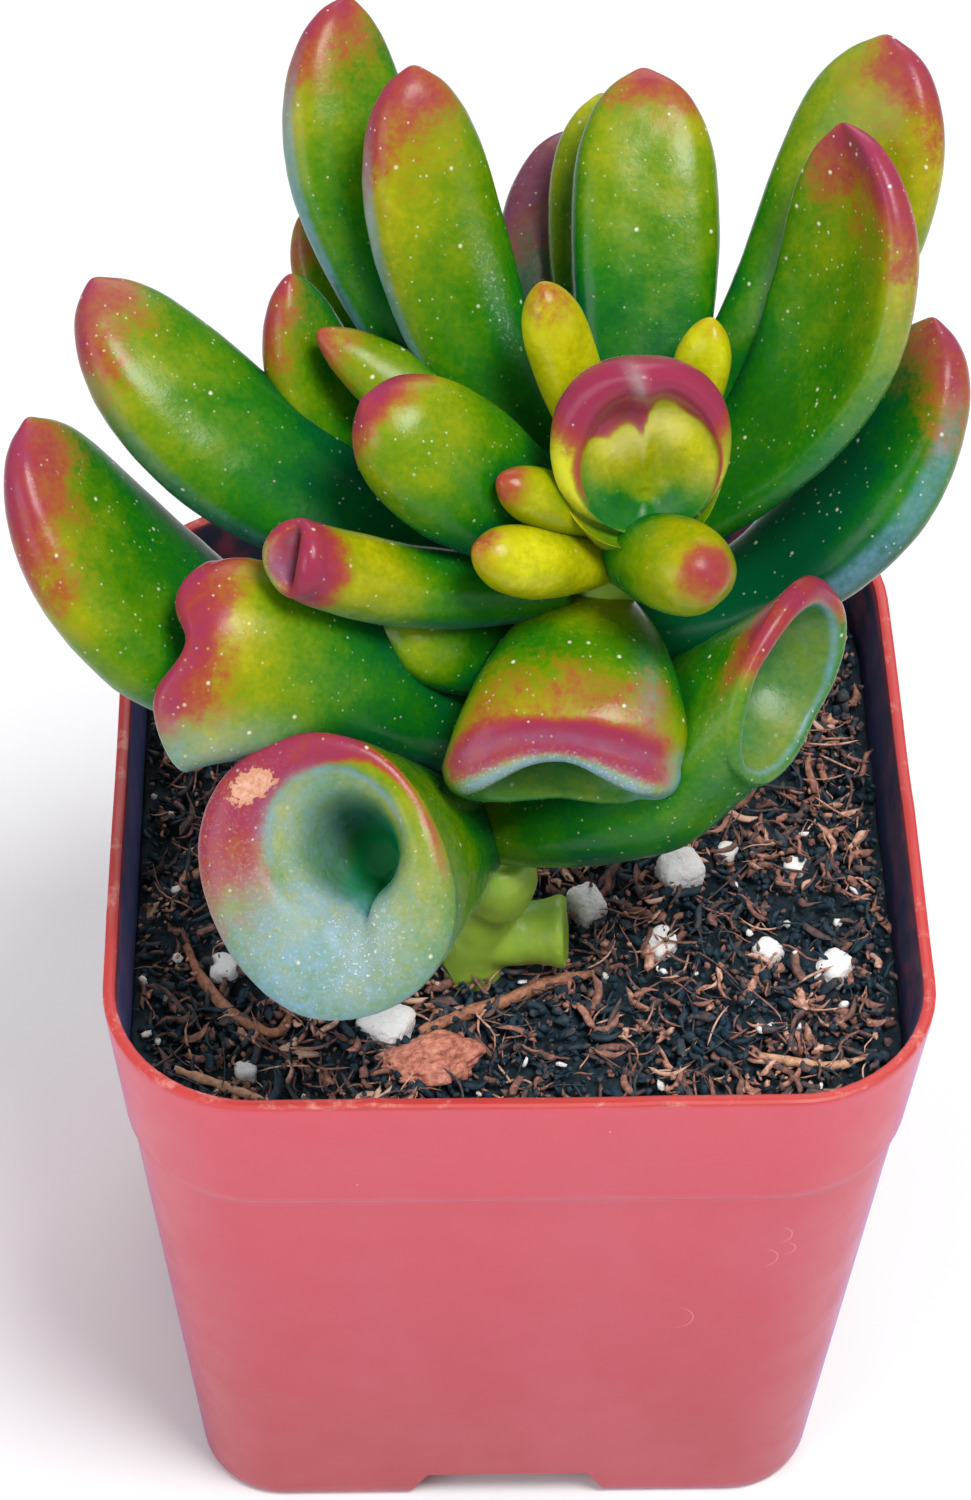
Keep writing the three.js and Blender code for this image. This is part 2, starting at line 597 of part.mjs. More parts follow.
function potSolid() {
  const outside = loft([
    potRing(0, FOOT_ROUNDING),
    potRing(FOOT_ROUNDING * 0.3, FOOT_ROUNDING * 0.3),
    potRing(FOOT_ROUNDING, 0),
    potRing(SHOULDER_HEIGHT - SHOULDER_ROUNDING, 0),
    potRing(SHOULDER_HEIGHT, 0),
    potRing(POT_HEIGHT, 0),
  ]);
  const inside = loft([
    potRing(POT_FLOOR, FOOT_ROUNDING),
    potRing(FOOT_ROUNDING + POT_WALL, POT_WALL),
    potRing(POT_HEIGHT + 1, POT_WALL),
  ]);
  const ridgeHeight = ARCH_HEIGHT + POT_FLOOR;
  const ridgeWidth = 2 * (ARCH_HALF_WIDTH + ARCH_FLARE + POT_WALL);
  const reach = POT_RIM_WIDTH;
  const ridges = boxSolid(reach, ridgeWidth, ridgeHeight, 0, 0, ridgeHeight / 2).add(
    boxSolid(ridgeWidth, reach, ridgeHeight, 0, 0, ridgeHeight / 2)
  );
  const channels = channelSolid(0).add(channelSolid(90));
  let pot = outside.subtract(inside).add(ridges.intersect(outside)).subtract(channels);
  pot = pot.add(postSolid(PAD_RADIUS, 0, ARCH_HEIGHT + 0.5, 0, 0));
  for (const x of [-DRAIN_OFFSET, DRAIN_OFFSET]) {
    for (const y of [-DRAIN_OFFSET, DRAIN_OFFSET]) {
      pot = pot.subtract(postSolid(DRAIN_RADIUS, -1, POT_FLOOR + 1, x, y, 12));
    }
  }
  return pot;
}

// Height of the potting mix at a place, uneven by a sum of waves
function soilHeight(x, y) {
  const waves =
    Math.sin(x * 0.41 + 1.3) * Math.cos(y * 0.37 - 0.4) +
    0.6 * Math.sin(x * 0.9 - y * 0.7) +
    0.4 * Math.cos(x * 1.7 + y * 1.3);
  return SOIL_LEVEL + SOIL_RELIEF * 0.5 * waves;
}

function soilSolid() {
  const bottom = ARCH_HEIGHT + POT_FLOOR + GAP;
  const clear = POT_WALL + GAP;
  const rings = [
    potRing(bottom, clear + SOIL_ROUNDING),
    potRing(bottom + SOIL_ROUNDING, clear),
    potRing(SHOULDER_HEIGHT - SHOULDER_ROUNDING, clear),
    potRing(SHOULDER_HEIGHT, clear),
  ];
  const edge = potRing(SOIL_LEVEL, clear);
  for (const share of SOIL_SHARES) {
    rings.push(
      edge.map((p) => {
        const x = p.x * share;
        const y = p.y * share;
        return new THREE.Vector3(x, y, soilHeight(x, y) - (share === 1 ? SOIL_EDGE_DROP : 0));
      })
    );
  }
  const start = new THREE.Vector3(0, 0, bottom);
  return toSolid(skin(rings, start, new THREE.Vector3(0, 0, soilHeight(0, 0))));
}

// An uneven lump: a ball whose corners are each pulled in or out by a repeatable draw
function lumpGeometry(seed, [wide, deep, tall], turn, [x, y]) {
  const draw = randomFrom(seed);
  let geometry = new THREE.IcosahedronGeometry(1, 1);
  geometry.deleteAttribute("normal");
  geometry.deleteAttribute("uv");
  geometry = mergeVertices(geometry, WELD);
  const points = geometry.attributes.position;
  for (let i = 0; i < points.count; i += 1) {
    const pull = LUMP_LEAST + LUMP_SPREAD * draw();
    points.setXYZ(i, points.getX(i) * pull, points.getY(i) * pull, points.getZ(i) * pull);
  }
  geometry.scale(wide, deep, tall);
  geometry.rotateZ(turn);
  geometry.translate(x, y, soilHeight(x, y) + tall * LUMP_SHOWING);
  return geometry;
}

function perliteGeometry({ at, size, tall }, index) {
  return lumpGeometry(index + 11, [size, size, size * tall], index * 1.7, at);
}

function barkGeometry() {
  return lumpGeometry(5, BARK.size, radians(BARK.turn), BARK.at);
}

function twigGeometry({ points, radius }) {
  const path = new THREE.CatmullRomCurve3(
    points.map(([x, y]) => new THREE.Vector3(x, y, soilHeight(x, y) + radius * 0.5))
  );
  const outline = new THREE.Shape();
  outline.absarc(0, 0, radius, 0, 2 * Math.PI);
  return new THREE.ExtrudeGeometry(outline, {
    curveSegments: TWIG_CURVE_SEGMENTS,
    steps: TWIG_STEPS,
    extrudePath: path,
    bevelEnabled: false,
  });
}

const LEAF_GREEN = 0x5a8f1c;
const object = new THREE.Group();

function addMesh(name, geometry, color, roughness = 0.5) {
  const material = new THREE.MeshStandardMaterial({ color, roughness, metalness: 0 });
  const mesh = new THREE.Mesh(geometry, material);
  mesh.name = name;
  object.add(mesh);
}

function overlaps(a, b) {
  const boxA = a.boundingBox();
  const boxB = b.boundingBox();
  return [0, 1, 2].every((k) => boxA.min[k] < boxB.max[k] && boxB.min[k] < boxA.max[k]);
}

const blockers = [stemSolid(GAP)];
addMesh("stem", toGeometry(stemSolid()), 0x8fa832);

for (const name of ORDER) {
  const blade = BLADES[name];
  const trumpet = TRUMPETS[name];
  let solid = toSolid(blade ? bladeGeometry(blade) : trumpetGeometry(trumpet));
  for (const blocker of blockers) {
    if (overlaps(solid, blocker)) {
      solid = largestPart(solid.subtract(blocker));
    }
  }
  blockers.push(toSolid(blade ? bladeGeometry(blade) : trumpetGeometry(trumpet, true), GAP));
  addMesh(name, toGeometry(solid), LEAF_GREEN);
}

addMesh("pot", toGeometry(potSolid()), 0xc8585a, 0.45);

// The potting mix has a bed for each thing that lies in it
let soil = soilSolid().subtract(stemSolid(GAP));

function addBedded(name, geometry, color, roughness) {
  addMesh(name, toGeometry(toSolid(geometry)), color, roughness);
  soil = soil.subtract(toSolid(geometry, GAP));
}

for (const [name, twig] of Object.entries(TWIGS)) {
  addBedded(name, twigGeometry(twig), 0x9a6a45, 0.9);
}
PERLITE.forEach((lump, index) => {
  addBedded(`perlite_${index + 1}`, perliteGeometry(lump, index), 0xe8e4da, 0.9);
});
addBedded("bark_piece", barkGeometry(), 0xa8614a, 0.95);
addMesh("soil", toGeometry(largestPart(soil)), 0x2a2420, 0.95);

export default object;
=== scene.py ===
import math

import bmesh
import bpy
import numpy as np
from mathutils import Matrix, Vector, noise
from mathutils.bvhtree import BVHTree


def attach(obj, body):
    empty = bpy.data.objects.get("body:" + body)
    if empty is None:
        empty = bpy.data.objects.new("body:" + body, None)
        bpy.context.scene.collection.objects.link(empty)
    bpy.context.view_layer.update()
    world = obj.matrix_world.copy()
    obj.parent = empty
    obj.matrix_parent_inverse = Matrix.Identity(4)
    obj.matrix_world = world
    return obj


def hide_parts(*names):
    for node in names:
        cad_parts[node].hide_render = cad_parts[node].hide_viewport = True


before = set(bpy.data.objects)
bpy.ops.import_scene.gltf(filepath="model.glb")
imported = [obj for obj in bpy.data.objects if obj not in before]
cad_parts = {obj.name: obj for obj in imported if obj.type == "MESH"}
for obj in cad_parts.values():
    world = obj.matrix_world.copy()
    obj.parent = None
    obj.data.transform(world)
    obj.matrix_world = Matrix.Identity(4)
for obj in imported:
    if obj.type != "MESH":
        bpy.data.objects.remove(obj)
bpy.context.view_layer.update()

MM = 0.001

# The pot and its filling, in millimetres
POT_RIM_WIDTH = 57
POT_BASE_WIDTH = 48.1
POT_HEIGHT = 57.5
POT_RIM_CORNER = 10.5
POT_BASE_CORNER = 6.5
POT_WALL = 0.9
POT_FLOOR = 1.0
FOOT_ROUNDING = 0.8
SHOULDER_HEIGHT = 45.5
SHOULDER_STEP = 0.25
ARCH_HEIGHT = 3.3
ARCH_HALF_WIDTH = 6.2
ARCH_FLARE = 1.6
PAD_RADIUS = 4
DRAIN_RADIUS = 2.2
DRAIN_OFFSET = 13
SOIL_LEVEL = 52
SOIL_RELIEF = 0.7
GAP = 0.3

# The stem's centre line with its radius at each point, from the peg in the mix to the growing tip
STEM = [
    ((-2.8, -12.4, 43), 1.9), ((-2.8, -12.2, 52), 2.3), ((-2.7, -12.0, 57), 2.5), ((-2.4, -11.4, 61), 2.9),
    ((-2.0, -10.4, 65), 3.0), ((-0.4, -8.6, 70), 2.7), ((2.4, -6.2, 75.5), 2.8), ((4.8, -4.0, 80.5), 2.7),
    ((6.2, -2.6, 84.5), 2.5), ((6.8, -2.0, 88), 1.5),
]
STEM_VOXEL = 0.28
STEM_SMOOTHING = 4

# The cut stump with marks along it and the share of its radius there, and the knob with steps from its middle
# and the radius at each
STUMP = {
    "start": (-2.4, -12, 55.2), "end": (3.4, -12.4, 55.9), "radius": 2.35,
    "marks": [(0, 1.0), (0.3, 0.97), (0.62, 0.93), (0.8, 1.0), (0.93, 1.12), (1.0, 1.06)],
}
KNOB = {
    "at": (-1.7, -12.2, 61.2),
    "steps": [((-0.8, 0.6, -2.4), 1.9), ((0, 0, -0.6), 2.75), ((0.4, -0.3, 1.2), 2.6), ((0.2, 0, 2.6), 2.1)],
}

# Perlite lumps: place on the mix, half width, height for its width
PERLITE = [
    ((11.9, -4.5), 1.8, 0.9), ((5.2, -7.4), 1.5, 0.95), ((10.2, -10.6), 1.3, 0.7),
    ((17.8, -11.3), 1.1, 0.9), ((22.4, -12.8), 1.4, 0.85), ((-9.2, -17.6), 2.1, 0.65),
    ((15.4, -2.4), 0.9, 0.9), ((20.2, -3.8), 0.9, 0.8), ((-20.4, -12.6), 1.2, 0.8),
    ((-18.8, -21.4), 0.9, 0.9), ((-14.5, 11.5), 1.4, 0.8), ((9.5, 15.5), 1.6, 0.8),
]

# The larger strands on the mix with their radius
TWIGS = {
    "twig_middle": ([(-6.8, -18.4), (-3.8, -17.0), (-0.8, -15.9), (2.4, -14.4), (5.4, -13.6)], 0.5),
    "twig_left": ([(-23.2, -10.6), (-21.8, -14.0), (-19.4, -17.2), (-16.6, -18.4), (-15.4, -15.9)], 0.4),
    "fibre_left": ([(-23.6, -21.8), (-21.6, -22.6), (-19.4, -23.4), (-17.4, -24.4)], 0.35),
    "fibre_right": ([(16.6, -20.6), (19.0, -21.4), (21.6, -21.8), (24.2, -20.8)], 0.35),
}
BARK = {"at": (-6.0, -21.2), "size": (3.3, 1.7, 1.6), "turn": 8}

# From which half width on a perlite lump is made finely, how square the lumps are, and how high the middle of
# a lump, of the bark and of a strand lies over the mix
PERLITE_FINE_FROM = 1.2
PERLITE_SQUARE = 4.0
PERLITE_RISE = 0.35
BARK_RISE = 0.4
TWIG_RISE = 0.45
TWIG_TAPER = (0.6, 1, 0.95, 1, 0.55)

# The mix: rings of its top, how far its edge and its top lie under its level, how far out the small bits are
# strewn, and how far each stays from the pot's wall
SOIL_RINGS = 92
SOIL_EDGE_DROP = 0.8
SOIL_SETTLED = 0.25
SCATTER_REACH = 27
WALL_MARGIN = 0.35


# Closed leaves. The form: three points of the spine, the side that the face looks to, half width and half
# thickness at the foot and at their most, where along the leaf that is, how blunt the tip is, how hollow the
# face is and how far its edges roll up. blush is where the red starts along the leaf, how far that moves with
# the side that the surface looks to, that side, how far it moves from one edge of the leaf to the other, and
# its strength; lift makes a leaf yellower, bloom paler and bluer on its underside.
BLADE_FORM = ("foot", "bend", "tip", "face", "width", "thick", "widest", "fullness", "dish", "curl")


def blade(*form, **look):
    return dict(zip(BLADE_FORM, form), **look)


BLADES = {
    "leaf_top_middle": blade(
        (7.5, -1, 85), (8.5, 9, 95), (8.2, 20.5, 104.9), (0, -0.8, 0.6),
        (3.2, 4.9), (2.0, 2.8), 0.62, 2.8, 0.3, 0.1,
        blush=(0.94, 0.03, (0.6, 0.1, 0.7), 0.02, 1.5), lift=-0.07, bloom=0.1,
    ),
    "leaf_tall_left_front": blade(
        (4.5, -1, 84), (-6.0, 7, 94), (-7.0, 14, 110.3), (0.3, -0.8, 0.5),
        (3.0, 4.45), (2.0, 2.9), 0.66, 2.5, 0.1, 0.1,
        blush=(0.84, 0.05, (-0.9, 0.1, 0.4), -0.03, 1.0), lift=0.1, bloom=0.1,
    ),
    "leaf_tall_left": blade(
        (3, 0.5, 84), (-13.9, 14, 97), (-11.2, 23, 108.8), (0.4, -0.8, 0.4),
        (2.8, 4.7), (1.8, 2.8), 0.64, 1.9, 0.2, 0.1,
        blush=(0.84, 0.05, (-0.9, 0.1, 0.4), -0.06, 0.9), lift=-0.04, bloom=0.1,
    ),
    "leaf_sliver_left": blade(
        (-1, 3, 79), (-11, 13, 84), (-14.2, 18, 94.8), (0.6, -0.5, 0.6),
        (2.0, 3.0), (1.4, 2.0), 0.6, 2.2, 0.2, 0.1,
        blush=(0.8, 0.2, (-0.9, 0.1, 0.4), 0.0, 0.5), lift=0.0, bloom=0.3,
    ),
    "leaf_upper_left": blade(
        (0.5, -3, 81), (-19.8, -1.2, 86.5), (-27.6, 7.6, 98.2), (0.6, -0.5, 0.65),
        (2.6, 5.35), (1.8, 3.2), 0.62, 2.3, 0.1, 0.1,
        blush=(0.87, 0.03, (-0.9, -0.1, 0.5), -0.06, 1.0), lift=-0.08, bloom=0.25,
    ),
    "leaf_far_left": blade(
        (-3, -8, 75), (-25.9, -9.9, 76.2), (-31.7, -1, 94), (0.6, -0.1, 0.75),
        (2.6, 7.0), (1.8, 3.5), 0.58, 2.2, 0.1, 0.1,
        blush=(0.86, 0.04, (-1.0, -0.2, 0.2), -0.12, 1.05), lift=-0.03, bloom=0.1,
    ),
    "leaf_inner_left": blade(
        (2, -2, 81), (-13.5, 4, 82), (-15.0, 9, 97.2), (0.7, -0.6, 0.5),
        (2.2, 3.8), (1.6, 2.6), 0.6, 2.4, 0.1, 0.1,
        blush=(0.93, 0.08, (-1.0, -0.1, 0.3), -0.06, 1.1), lift=-0.04, bloom=0.1,
    ),
    "leaf_small_cone": blade(
        (3, -2, 87), (-6, 3, 91.5), (-13, 5, 96), (0.4, -0.6, 0.7),
        (2.0, 2.8), (1.4, 2.0), 0.45, 1.7, 0, 0,
        blush=(0.84, 0.05, (-1.0, 0, 0.3), 0.0, 0.9), lift=0.02, bloom=0.1,
    ),
    "leaf_mid_left": blade(
        (4, -4, 85), (-2, -4, 90), (-10.2, -3.6, 98), (0.4, -0.6, 0.7),
        (2.6, 4.8), (1.9, 3.3), 0.6, 2.8, 0, 0,
        blush=(0.97, 0.2, (-0.6, 0.6, 0.5), 0.0, 1.4), lift=0.04, bloom=0.05,
    ),
    "leaf_tall_right": blade(
        (8.4, 0, 86), (22.0, 8, 95.2), (23.4, 17, 110.3), (-0.5, -0.7, 0.5),
        (3.2, 5.7), (1.9, 3.0), 0.66, 2.6, 0.2, 0.2,
        blush=(0.88, 0.04, (0.7, 0.3, 0.6), 0.1, 0.95), lift=0.12, bloom=0.15,
    ),
    "leaf_right": blade(
        (9, -2, 85.5), (24.6, 0.6, 95.8), (20.0, 9, 109.6), (-0.8, -0.4, 0.5),
        (3.0, 6.0), (2.0, 2.6), 0.56, 2.6, 0.6, 0.4,
        blush=(0.8, 0.04, (0.75, 0.2, 0.6), 0.1, 1.0), lift=0.12, bloom=0.1,
    ),
    "leaf_far_right": blade(
        (7, -4, 77), (24.5, -3, 81.4), (26.8, 6.5, 95.5), (-0.6, -0.1, 0.8),
        (2.8, 5.4), (2.0, 3.2), 0.6, 2.6, 0.2, 0.2,
        blush=(0.9, 0.04, (0.7, 0.2, 0.7), 0.1, 1.0), lift=-0.33, bloom=0.16,
    ),
    "leaf_top_behind": blade(
        (7.5, 2, 83), (6.4, 13, 91.4), (5.8, 24, 100), (0, -0.8, 0.6),
        (2.6, 4.2), (1.8, 2.2), 0.6, 2.5, 0.2, 0.1,
        blush=(0.97, 0.03, (-0.9, 0, 0.4), 0.0, 0.2), lift=0.0, bloom=0.1,
    ),
    "leaf_purple_back": blade(
        (5.5, 2, 79), (0.1, 14.5, 88.2), (3.8, 27, 94.3), (0, -0.7, 0.7),
        (2.4, 3.9), (1.8, 2.4), 0.6, 2.0, 0.2, 0.1,
        blush=(0.64, 0.1, (-0.9, 0, 0.4), 0.0, 0.9), lift=-0.1, bloom=0.16,
    ),
    "young_finger_left": blade(
        (6.2, -1.6, 88), (3.4, 0, 94), (1.0, 1.8, 102.8), (0.5, -0.8, 0.3),
        (1.7, 2.15), (1.4, 1.8), 0.66, 3.6, 0, 0,
        blush=(0.97, 0.12, (0.1, -0.6, 0.6), 0.0, 0.8), lift=0.5, bloom=0,
    ),
    "young_finger_right": blade(
        (8, -1.4, 88), (11, 1, 91), (12, 3.5, 98.3), (-0.5, -0.8, 0.3),
        (1.3, 1.9), (1.1, 1.5), 0.66, 3.6, 0, 0,
        blush=(0.99, 0.04, (0, 0, 1), 0.0, 0.75), lift=0.5, bloom=0,
    ),
    "young_small_upper": blade(
        (6, -4, 88), (2.5, -6, 90.6), (-1.6, -7, 94.4), (0.3, -0.5, 0.8),
        (1.3, 1.9), (1.1, 1.6), 0.6, 2.8, 0, 0,
        blush=(0.9, 0.06, (-0.5, 0, 1), 0.0, 0.9), lift=0.12, bloom=0,
    ),
    "young_small_lower": blade(
        (5.5, -5.5, 86), (1.5, -9, 88), (-3.2, -10.5, 91.8), (0.3, -0.5, 0.8),
        (1.6, 2.3), (1.4, 2.0), 0.6, 2.8, 0, 0,
        blush=(0.92, 0.06, (-0.5, 0, 1), 0.0, 0.8), lift=0.4, bloom=0,
    ),
    "leaf_bulb": blade(
        (6, -4, 85.6), (8.2, -8, 88.8), (12.0, -12.8, 91.0), (0, -0.3, 1),
        (2.3, 3.1), (2.2, 3.0), 0.6, 3.0, 0, 0,
        blush=(1.05, 0.24, (0.1, -0.5, 0.85), 0.0, 1.0), lift=0.04, bloom=0.05,
    ),
    "leaf_low_middle": blade(
        (2, -5, 76), (-4, -7, 81), (-9, -9, 83), (0.2, -0.5, 0.85),
        (3.0, 4.0), (1.6, 2.1), 0.5, 2.6, 0, 0,
        blush=(1.2, 0.0, (0, 0, 1), 0.0, 1.0), lift=-0.06, bloom=0.05,
    ),
}


# Leaves with a cup at the end. The form: as above, with the way that the mouth looks to, half sizes at the
# foot, the middle and the mouth, and how square the outline is. hollow holds the cup's middle and half sizes
# as shares of the mouth, its turn in degrees, its depth, and two powers: how flat its bottom is and how
# gently it sets out from the edge. rise is how high the lip swells, saddle how far the mouth bends. notch
# lowers the mouth, dip widens the cup and crest raises the lip, each at an angle, by an amount, over a
# breadth; sink moves the cup's bottom. rim_red is where round the mouth the red band lies, in degrees, its
# half breadth, how far it reaches down the outside as a share of the leaf, and its strength.
TRUMPET_FORM = ("foot", "bend", "tip", "face", "mouth", "width", "thick", "square", "hollow", "rise")
NO_BUMP = (0, 0, 1)
TRUMPET_PLAIN = {"saddle": 0, "notch": NO_BUMP, "dip": NO_BUMP, "crest": NO_BUMP, "sink": (0, 0)}


def trumpet(*form, **more):
    return {**TRUMPET_PLAIN, **dict(zip(TRUMPET_FORM, form)), **more}


TRUMPETS = {
    "leaf_big_trumpet": trumpet(
        (-2.4, -10.5, 64), (-7, -14, 67), (-12.8, -23, 74.8), (-0.45, 0.75, 0.66), (-0.1, -0.68, 0.72),
        (2.6, 5.2, 7.8), (2.4, 5.8, 9.3), 2.2, ((-0.2, 0.2), (0.53, 0.5), 0, 8, 9, 3), 0.24,
        notch=(280, 0.5, 14), dip=(280, 0.24, 8), sink=(-0.4, -0.7),
        rim_red=(96, 106, 0.34, 0.98), lift=-0.04, bloom=1.15,
    ),
    "leaf_front_curl": trumpet(
        (4.4, -4, 80), (4, -13, 83), (2.4, -16.5, 77.3), (0, -0.3, 1), (-0.02, -0.84, -0.54),
        (3.0, 6.5, 7.8), (1.8, 2.8, 3.7), 2.3, ((0, -0.1), (0.6, 0.5), 0, 5, 2.2, 1), 0.6,
        saddle=-0.3, notch=(82, 2.0, 42),
        rim_red=(84, 66, 0.56, 1.0), lift=0.06, bloom=0.3,
    ),
    "leaf_right_trumpet": trumpet(
        (-3, -10.5, 65.5), (7.4, -14, 71.5), (16.8, -11.2, 80.2), (-0.44, -0.25, 0.8), (0.72, -0.55, 0.24),
        (2.6, 5.6, 7.1), (2.4, 3.7, 5.2), 2.5, ((0.06, -0.02), (0.8, 0.76), 0, 4, 2.0, 1), 0.5,
        rim_red=(140, 62, 0.16, 0.9), lift=-0.2, bloom=0.06,
    ),
    "leaf_heart_spoon": trumpet(
        (-3, -9, 72), (-15, -11.5, 85), (-21.6, -12.2, 83.2), (0.2, -0.6, 0.75), (-0.95, 0.2, -0.02),
        (2.6, 5.6, 6.9), (2.2, 3.6, 3.8), 2.2, ((0, 0), (0.72, 0.62), 0, 5, 2.2, 1), 0.5,
        saddle=-0.9, notch=(82, 1.8, 20),
        rim_red=(62, 74, 0.36, 0.95), lift=0.1, bloom=0.8,
    ),
    "leaf_hood": trumpet(
        (7, -3, 86), (7.4, -5.6, 91), (7.2, -5.3, 96), (0, 0.7, 0.7), (0.05, -0.75, 0.65),
        (2.8, 4.4, 5.8), (2.4, 4.0, 5.6), 2.2, ((-0.1, -0.28), (0.74, 0.8), 0, 2.6, 1.6, 1.5), 0.34,
        notch=(270, 2.6, 60), dip=(84, -0.12, 12), crest=(90, 0.7, 50), sink=(0, -0.3),
        rim_red=(88, 80, 0.1, 1.2), lift=0.2, bloom=0.05,
    ),
    "leaf_small_trumpet": trumpet(
        (2.4, -5, 83), (-7.2, -8.5, 85), (-14.4, -10, 90.6), (0.3, -0.4, 0.9), (-0.66, -0.5, 0.56),
        (2.0, 2.7, 2.6), (1.7, 2.4, 2.4), 2.1, ((0, 0.05), (0.62, 0.16), 30, 1.1, 2.0, 1), 0.7,
        rim_red=(90, 150, 0.16, 1.0), lift=0.16, bloom=0.4,
    ),
}

# The leaves at the growing tip, which are yellower
YOUNG = ("young_", "leaf_hood", "leaf_bulb")

# How finely the skins are divided
LEAF_SIDES = 80
ROWS_TO_WIDEST = 34
ROWS_TO_TIP = 40
TUBE_ROWS = 56
LIP_ROWS = 26
CREASE_ROUNDS = 20
BOWL_ROWS = 30
BLADE_POWER = 2.2

# The small point at a closed leaf's tip: height and half breadth
TIP_POINT = 0.3
TIP_POINT_BREADTH = 0.8

# The side that most of the light comes from; the leaves' colour is painted yellower where its light reaches
# them and darker green where other leaves shade them, as painted light and shade
SUN = Vector((-0.2, -0.4, 0.9)).normalized()


def smooth(s):
    s = np.clip(s, 0, 1)
    return s * s * (3 - 2 * s)


def rise(value, start, span):
    """0 up to the start, 1 from a span further on, and a smooth slope between."""
    return smooth((value - start) / span)


def fall(value, start, span):
    return 1 - rise(value, start, span)


def near(value, at, reach):
    """1 at one value, falling away softly on both sides."""
    return np.exp(-(((value - at) / reach) ** 2))


def turned(angle, degrees):
    """Angles counted from a direction, from minus half a turn to half a turn."""
    away = angle - math.radians(degrees)
    return np.arctan2(np.sin(away), np.cos(away))


def angle_bump(angle, bump):
    centre, amount, breadth = bump
    return amount * near(turned(angle, centre), 0, math.radians(breadth))


def unit(v):
    v = np.asarray(v, float)
    return v / np.maximum(np.linalg.norm(v, axis=-1, keepdims=True), 1e-12)


def toward(angle, degrees):
    """1 where an angle looks the given way, -1 where it looks the opposite way."""
    return np.cos(angle - math.radians(degrees))


def angles_round(sides):
    return np.arange(sides) / sides * 2 * math.pi


def leaf_frame(leaf, t):
    """Middle, axis, up and across of a leaf at the shares t of its spine, each as rows."""
    t = np.atleast_1d(np.asarray(t, float))[:, None]
    foot, bend, tip = (np.array(leaf[k], float) for k in ("foot", "bend", "tip"))
    middle = foot * (1 - t) ** 2 + bend * 2 * t * (1 - t) + tip * t * t
    axis = unit((bend - foot) * (1 - t) + (tip - bend) * t)
    if "mouth" in leaf:
        axis = unit(axis + (unit(leaf["mouth"]) - axis) * rise(t, 0.3, 0.7))
    face = np.array(leaf["face"], float)
    up = unit(face - axis * (axis @ face)[:, None])
    return middle, axis, up, np.cross(axis, up)


def on_outline(angle, half_width, half_thick, power):
    c, s = np.cos(angle), np.sin(angle)
    x = half_width * np.sign(c) * np.abs(c) ** (2 / power)
    y = half_thick * np.sign(s) * np.abs(s) ** (2 / power)
    return x, y


def blade_size(pair, leaf, t):
    root, most = pair
    grown = t / leaf["widest"]
    s = np.clip((t - leaf["widest"]) / (1 - leaf["widest"]), 0, 1)
    swelling = root + (most - root) * (smooth(grown) * 0.6 + grown * 0.4)
    rounding = most * np.sqrt(np.maximum(0, 1 - s ** leaf["fullness"]))
    return np.where(t < leaf["widest"], swelling, rounding)


def place(middle, up, across, x, y, axis, lift):
    points = middle[:, None] + across[:, None] * x[..., None] + up[:, None] * y[..., None]
    return points + axis[:, None] * np.broadcast_to(lift, x.shape)[..., None]


def blade_rings(leaf):
    """Rings of points of a closed leaf, with each ring's share of the length and the tip's point."""
    angle = angles_round(LEAF_SIDES)
    low = np.linspace(0, leaf["widest"], ROWS_TO_WIDEST, endpoint=False)
    turn = np.linspace(0, math.pi / 2, ROWS_TO_TIP, endpoint=False)
    t = np.concatenate([low, leaf["widest"] + (1 - leaf["widest"]) * np.sin(turn)])
    half_width = blade_size(leaf["width"], leaf, t)[:, None]
    half_thick = blade_size(leaf["thick"], leaf, t)[:, None]
    x, y = on_outline(angle[None], half_width, half_thick, BLADE_POWER)
    bowl = leaf["dish"] * smooth(t / 0.5)[:, None] * half_thick * (1 - (x / half_width) ** 2)
    y = np.where(y > 0, y - bowl, y)
    if leaf["curl"]:
        radius = half_width / np.maximum(leaf["curl"] * smooth(t / 0.4)[:, None], 1e-3)
        x, y = (radius - y) * np.sin(x / radius), radius - (radius - y) * np.cos(x / radius)
    middle, axis, up, across = leaf_frame(leaf, t)
    point = TIP_POINT * near(half_width, 0, TIP_POINT_BREADTH) * (t[:, None] > leaf["widest"])
    rings = place(middle, up, across, x, y, axis, point)
    start = leaf_frame(leaf, 0)[0][0]
    end, end_axis = (part[0] for part in leaf_frame(leaf, 1)[:2])
    return rings, t, start, end + end_axis * TIP_POINT


def through_three(sizes, t):
    a, b, c = sizes
    return a * (1 - t) * (1 - 2 * t) + b * 4 * t * (1 - t) + c * t * (2 * t - 1)


